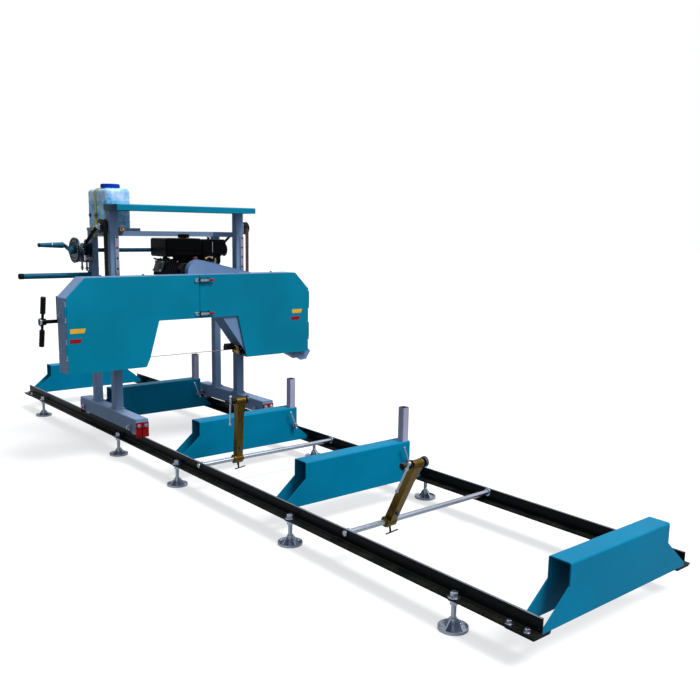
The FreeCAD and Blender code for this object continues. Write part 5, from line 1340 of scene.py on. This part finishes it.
def tank_brackets():
    """Tabs and bolts under the tank's lip, and the fuel tap with its red lever and its hose."""
    a, b = low("engine_fuel_tank"), high("engine_fuel_tank")
    lip, ends = 1.2600, (a.x + 0.045, b.x - 0.045)
    tab = soften(block("tank_tabs", (-0.011, -0.009, -0.0025), (0.011, 0.010, 0)), 0.001)
    fixed(tab, [shift(x, a.y + 0.0005, lip) for x in ends], "head", engine_black)
    spots = [shift(x, a.y + 0.0015, lip) @ down @ shift(0, 0, 0.0025) for x in ends]
    fixed(hex_bolt("tank_lip_bolts", 0.009, 0.0012, 0.003), spots, "head", black_paint)
    tap = joined("fuel_tap", [soften(block("fuel_tap", (0.118, 0.772, 1.196), (0.142, 0.790, 1.217)), 0.0025),
                              bar("fuel_tap_spout", (0.130, 0.781, 1.176), (0.130, 0.781, 1.198), 0.0048,
                                  20)])
    dress(tap, "head", alloy)
    dress(soften(block("fuel_tap_lever", (0.106, 0.766, 1.2035), (0.134, 0.7715, 1.2105)), 0.0015), "head",
          red_plastic)
    line = hose("fuel_line", [(0.130, 0.781, 1.180), (0.132, 0.780, 1.160), (0.160, 0.776, 1.140),
                              (0.205, 0.782, 1.136), (0.235, 0.784, 1.146)], 0.0040)
    dress(line, "head", rubber)


def control_levers():
    """Throttle and choke: a dark bracket and duct with two short levers, their pivots, a spring and a rod."""
    y = 0.7585
    levers_at = ((0.196, 1.206, 0.028, 64), (0.240, 1.210, 0.024, -70))
    plate = soften(block("control_plate", (0.176, y, 1.184), (0.262, y + 0.0025, 1.232)), 0.0012)
    duct = soften(block("air_duct", (0.186, 0.792, 1.168), (0.332, 0.884, 1.2365)), 0.012, 3)
    dress(joined("control_plate", [plate, duct]), "head", engine_black)
    levers = []
    for x, z, reach, turn in levers_at:
        lever = soften(block("control_levers", (-0.0035, -0.003, -0.006), (0.0035, -0.0010, reach)), 0.0009)
        knob = lathed("control_knob", [(0, -0.0062), (0.0040, -0.0062), (0.0046, -0.005), (0.0046, -0.0035),
                                       (0.0036, -0.003), (0, -0.003)], 20)
        knob.data.transform(shift(0, 0, reach - 0.004) @ Matrix.Rotation(math.radians(-90), 4, "X"))
        one = joined("control_levers", [lever, knob])
        one.data.transform(shift(x, y, z) @ Matrix.Rotation(math.radians(turn), 4, "Y"))
        levers.append(one)
    dress(joined("control_levers", levers), "head", zinc)
    spots = [along((x, y - 0.003, z), (0, -1, 0)) for x, z, reach, turn in levers_at]
    fixed(hex_bolt("control_pivots", 0.009, 0.001), spots, "head", gold_plate)
    spring = coil("throttle_spring", (0.206, y - 0.0015, 1.190), (0.268, 0.778, 1.176), 0.0036, 0.0006, 16)
    dress(spring, "head", chrome)
    rod = hose("throttle_rod", [(0.190, y - 0.0015, 1.196), (0.186, 0.770, 1.178), (0.205, 0.790, 1.166),
                                (0.222, 0.800, 1.160)], 0.0012)
    dress(rod, "head", zinc)


def carburettor_bits():
    """The float bowl's nut and seam, and the small cover in front with its jets."""
    x, y = 0.279, 0.810
    nut = hex_bolt("bowl_nut", 0.012, 0.0015)
    fixed(nut, [shift(x, y, 1.086) @ down], "head", gold_plate)
    bead = ring("bowl_seam", (x, y, 1.118), (0, 0, 1), 0.0202, 0.0014, 40, 8)
    dress(bead, "head", alloy)
    cover = soften(block("choke_cover", (0.228, 0.7865, 1.150), (0.290, 0.7895, 1.206)), 0.002)
    jets = [bar("choke_jets", (jx, 0.780, jz), (jx, 0.788, jz), r, 16) for jx, jz, r in
            ((0.246, 1.166, 0.0048), (0.272, 1.190, 0.0040), (0.276, 1.160, 0.0032))]
    dress(cover, "head", alloy)
    dress(joined("choke_jets", [soften(j, 0.0008, 1) for j in jets]), "head", gold_plate)


def filter_trim():
    """The clips and bright seam of the air filter's cover, its wing nut and the breather hose."""
    x0, x1, y0, y1, z0, z1 = 0.171, 0.359, 0.766, 0.920, 1.236, 1.328
    seam_x = x0 + 0.080
    band = soften(block("filter_seam", (seam_x - 0.0018, y0 - 0.0010, z0 + 0.006),
                        (seam_x + 0.0018, y0 + 0.0006, z1 - 0.016)), 0.0007)
    dress(band, "head", zinc)
    clip = joined("filter_clips", [soften(block("clip", (-0.006, -0.0035, -0.012), (0.006, -0.0005, 0.012)),
                                          0.001), bar("clip_bar", (-0.008, -0.0045, 0.006),
                                                      (0.008, -0.0045, 0.006), 0.0016, 12)])
    spots = [shift(x1 - 0.040, y0, z0 + 0.030), shift(x0 + 0.030, y0, z0 + 0.030),
             shift(x1 - 0.040, y1, z0 + 0.030) @ Matrix.Rotation(math.pi, 4, "Z")]
    fixed(clip, spots, "head", black_paint)
    wing = joined("wing_nut", [lathed("wing_hub", [(0, 0), (0.0065, 0), (0.0055, 0.006), (0, 0.0065)], 24),
                               soften(block("wing", (-0.014, -0.0012, 0.001), (0.014, 0.0012, 0.009)),
                                      0.001)])
    fixed(wing, [shift((x0 + x1) / 2, (y0 + y1) / 2, z1 + 0.012)], "head", zinc)
    breather = hose("breather_hose", [(0.222, 0.930, 1.250), (0.222, 0.948, 1.240), (0.205, 0.958, 1.205),
                                      (0.190, 0.940, 1.168)], 0.0050)
    dress(breather, "head", rubber)


def starter_details():
    """The starter's bolts on their ears, its hub cap, the rope's eye and the pull grip."""
    x, z, back, r = 0.119, 1.120, 0.975, 0.094
    ring_of = [on_circle(r + 0.006, t) for t in (0.5, 1.9, 2.9, 4.2, 5.6)]
    ears = [bar("starter_ears", (x + dx, back - 0.062, z + dz), (x + dx, back - 0.052, z + dz), 0.0095, 24)
            for dx, dz in ring_of]
    dress(joined("starter_ears", ears), "head", engine_black)
    spots = [along((x + dx, back - 0.052, z + dz), (0, 1, 0)) for dx, dz in ring_of]
    fixed(hex_bolt("starter_bolts", 0.010, 0.0015), spots, "head", zinc)
    cap = lathed("starter_hub", [(0, 0), (0.026, 0), (0.030, -0.001), (0.030, 0.002), (0.026, 0.0045),
                                 (0.010, 0.006), (0.009, 0.0045), (0, 0.0045)], 48)
    fixed(cap, [along((x, back, z), (0, 1, 0))], "head", engine_black)
    eye = soften(block("rope_eye", (x - 0.078, back - 0.030, z + 0.048),
                       (x - 0.050, back - 0.006, z + 0.078)), 0.006, 3)
    dress(eye, "head", engine_black)
    grip = lathed("pull_grip", [(0, -0.010), (0.006, -0.009), (0.010, 0.0), (0.0085, 0.010), (0.0095, 0.030),
                                (0.012, 0.040), (0.010, 0.046), (0, 0.048)], 28)
    for v in grip.data.vertices:
        v.co.y *= 1.9
    way = Vector((-0.80, -0.15, 0.25)).normalized()
    fixed(grip, [along((x - 0.086, back - 0.018, z + 0.068), way)], "head", black_plastic)


def silencer_shield():
    """The silencer's pierced guard, standing off it on bolts."""
    x0, x1, y1, z0, z1 = 0.224, 0.346, 0.955, 1.084, 1.166
    sheet = soften(block("silencer_shield", (x0, y1 + 0.006, z0), (x1, y1 + 0.0078, z1)), 0.0008)
    slots = [block("slot", (x0 + 0.014 + 0.0165 * i, y1, z0 + 0.013 + 0.021 * k),
                   (x0 + 0.024 + 0.0165 * i, y1 + 0.02, z0 + 0.018 + 0.021 * k)) for i in range(6)
             for k in range(3) if not (i > 3 and k == 0)]
    dress(pierced(sheet, slots), "head", zinc)
    bolt = hex_bolt("shield_bolts", 0.008, 0.001)
    stand = bar("shield_posts", (0, 0, -0.009), (0, 0, 0), 0.0035, 16)
    one = joined("shield_bolts", [bolt, stand])
    spots = [along((x, y1 + 0.0078, z), (0, 1, 0))
             for x, z in ((x0 + 0.007, z0 + 0.007), (x1 - 0.007, z1 - 0.007), (x0 + 0.007, z1 - 0.007))]
    fixed(one, spots, "head", zinc)


def case_details():
    """The oil plug, the foot bolts, a drain plug and the rocker switch in its box."""
    plug = lathed("oil_plug", [(0, 0), (0.0125, 0), (0.0138, 0.0012), (0.0138, 0.006), (0.0125, 0.0075),
                               (0.007, 0.008), (0.0065, 0.013), (0, 0.0135)], 10)
    fixed(plug, [along((-0.0168, 0.776, 1.0662), (-0.914, 0, 0.406))], "head", black_plastic)
    bolt = hex_bolt("engine_bolts", 0.013, 0.002)
    spots = [shift(x, y, 1.022) for x in (-0.0050, 0.2330) for y in (0.775, 0.925)]
    fixed(bolt, spots, "head", zinc)
    drain = hex_bolt("drain_plug", 0.014, 0.002)
    fixed(drain, [along((case_left, 0.900, 1.040), (-1, 0, 0))], "head", zinc)
    body = soften(block("engine_switch", (case_left - 0.016, 0.915, 1.092),
                        (case_left + 0.002, 0.945, 1.128)), 0.003)
    dress(body, "head", black_plastic)
    rocker = soften(block("switch_rocker", (case_left - 0.0195, 0.922, 1.100),
                          (case_left - 0.0150, 0.938, 1.120)), 0.0015)
    dress(rocker, "head", red_plastic)


def fuel_cap_ribs():
    """Ribs round the fuel cap and its low crown."""
    c, d = low("fuel_cap"), high("fuel_cap")
    centre, r = (c + d) / 2, (d.x - c.x) / 2
    rib = soften(block("fuel_cap_ribs", (-0.0022, -0.0015, 0), (0.0022, 0.0016, d.z - c.z - 0.006)), 0.0012,
                 1)
    crown = lathed("fuel_cap_crown", [(0, 0.0016), (r * 0.30, 0.0014), (r * 0.62, 0.0008), (r * 0.74, 0)], 48)
    crown.data.transform(shift(centre.x, centre.y, d.z))
    dress(joined("fuel_cap_ribs", [cap_ribbed(rib, "fuel_cap", 18, -0.0004), crown]), "fuel_lid",
          black_plastic)


# Camera, floor and light

def stand_camera():
    """The camera that took the photograph, as fitted to the rails, bunks and posts."""
    eye = Vector((-2.4776, -3.8839, 1.3956))
    yaw, pitch, roll = math.radians(39.241), math.radians(-9.48), math.radians(0.818)
    ahead = Vector((math.sin(yaw) * math.cos(pitch), math.cos(yaw) * math.cos(pitch), math.sin(pitch)))
    right = ahead.cross(Vector((0, 0, 1))).normalized()
    up = right.cross(ahead)
    across = right * math.cos(roll) + up * math.sin(roll)
    over = up * math.cos(roll) - right * math.sin(roll)
    data = bpy.data.cameras.new("camera")
    data.sensor_width, data.lens = 36.0, 41.50
    data.shift_x, data.shift_y = 0.0178, 0.0220
    data.clip_end = 60
    camera = bpy.data.objects.new("camera", data)
    camera.matrix_world = Matrix.Translation(eye) @ Matrix((across, over, -ahead)).transposed().to_4x4()
    bpy.context.scene.collection.objects.link(camera)
    bpy.context.scene.camera = camera


def ray_seen(tree, mirrored):
    """1 where the eye sees the surface straight or through glass, and the given share of it in a mirror."""
    path = tree.nodes.new("ShaderNodeLightPath")
    return maths(tree, "MAXIMUM", path.outputs["Is Camera Ray"],
                 maths(tree, "MAXIMUM", maths(tree, "MULTIPLY", path.outputs["Is Glossy Ray"], mirrored),
                       path.outputs["Is Transmission Ray"]))


def lay_floor():
    """A pale floor that takes soft shadows and reads as plain white beside them."""
    clear_selection()
    bpy.ops.mesh.primitive_plane_add(size=240, location=(0, 0, -0.0015))
    floor = tidy_added("floor")
    m, tree, shader = blank("floor_white", 0.9)[:3]
    shader.inputs["Specular IOR Level"].default_value = 0.05
    seen = ray_seen(tree, 0.35)
    tree.links.new(mixed(tree, seen, (0.14, 0.15, 0.16, 1), (0.9, 0.9, 0.91, 1)), shader.inputs["Base Color"])
    white = tree.nodes.new("ShaderNodeEmission")
    blend = tree.nodes.new("ShaderNodeMixShader")
    tree.links.new(maths(tree, "MULTIPLY", seen, 0.6), blend.inputs[0])
    tree.links.new(shader.outputs[0], blend.inputs[1])
    tree.links.new(white.outputs[0], blend.inputs[2])
    tree.links.new(blend.outputs[0], tree.nodes["Material Output"].inputs["Surface"])
    floor.data.materials.append(m)


def light_room():
    """A plain white room, one broad light from the right in front and above, and a weak one from behind."""
    world = bpy.data.worlds.new("room")
    bpy.context.scene.world = world
    world.use_nodes = True
    tree = world.node_tree
    back = tree.nodes["Background"]
    seen = ray_seen(tree, 0.5)
    tree.links.new(mixed(tree, seen, (0.88, 0.94, 1.0, 1), (1.0, 1.0, 1.0, 1)), back.inputs["Color"])
    way = tree.nodes.new("ShaderNodeVectorMath")
    way.operation = "DOT_PRODUCT"
    way.inputs[1].default_value = (0.32, -0.22, 0.90)
    tree.links.new(tree.nodes.new("ShaderNodeTexCoord").outputs["Generated"], way.inputs[0])
    sky = maths(tree, "MAXIMUM", maths(tree, "ADD", way.outputs["Value"], 0.25), 0.04)
    tree.links.new(ranged(tree, seen, 0.0, 1.0, sky, 1.0), back.inputs["Strength"])
    for name, way, power, softness in (("key", (0.25, -0.60, 1.0), 3.0, 20),
                                       ("back", (0.1, 0.8, 0.6), 0.3, 40)):
        data = bpy.data.lights.new(name, "SUN")
        data.energy, data.angle = power, math.radians(softness)
        lamp = bpy.data.objects.new(name, data)
        lamp.matrix_world = along(Vector(way) * 6, way)
        bpy.context.scene.collection.objects.link(lamp)
    bpy.context.scene.view_settings.view_transform = "Standard"


foot_hardware()
rail_hardware()
stop_hardware()
clamp_hardware()
carriage_hardware()
post_hardware()
pulley_faces()
tank_fittings()
tank_webbing()
winch_fittings()
lift_webbing()
case_fasteners()
latch_fittings()
door_markers()
toothed_band()
wheel_fittings()
guide_fittings()
belt_guard_fittings()
tension_grips()
chute_bolts()
rail_edge_highlights()
strip_faces()
beam_ends()
guard_front()
handle_cap()
winch_rim()
valve_cover()
spark_plug()
fin_shroud()
tank_brackets()
control_levers()
carburettor_bits()
filter_trim()
starter_details()
silencer_shield()
case_details()
fuel_cap_ribs()
stand_camera()
lay_floor()
light_room()
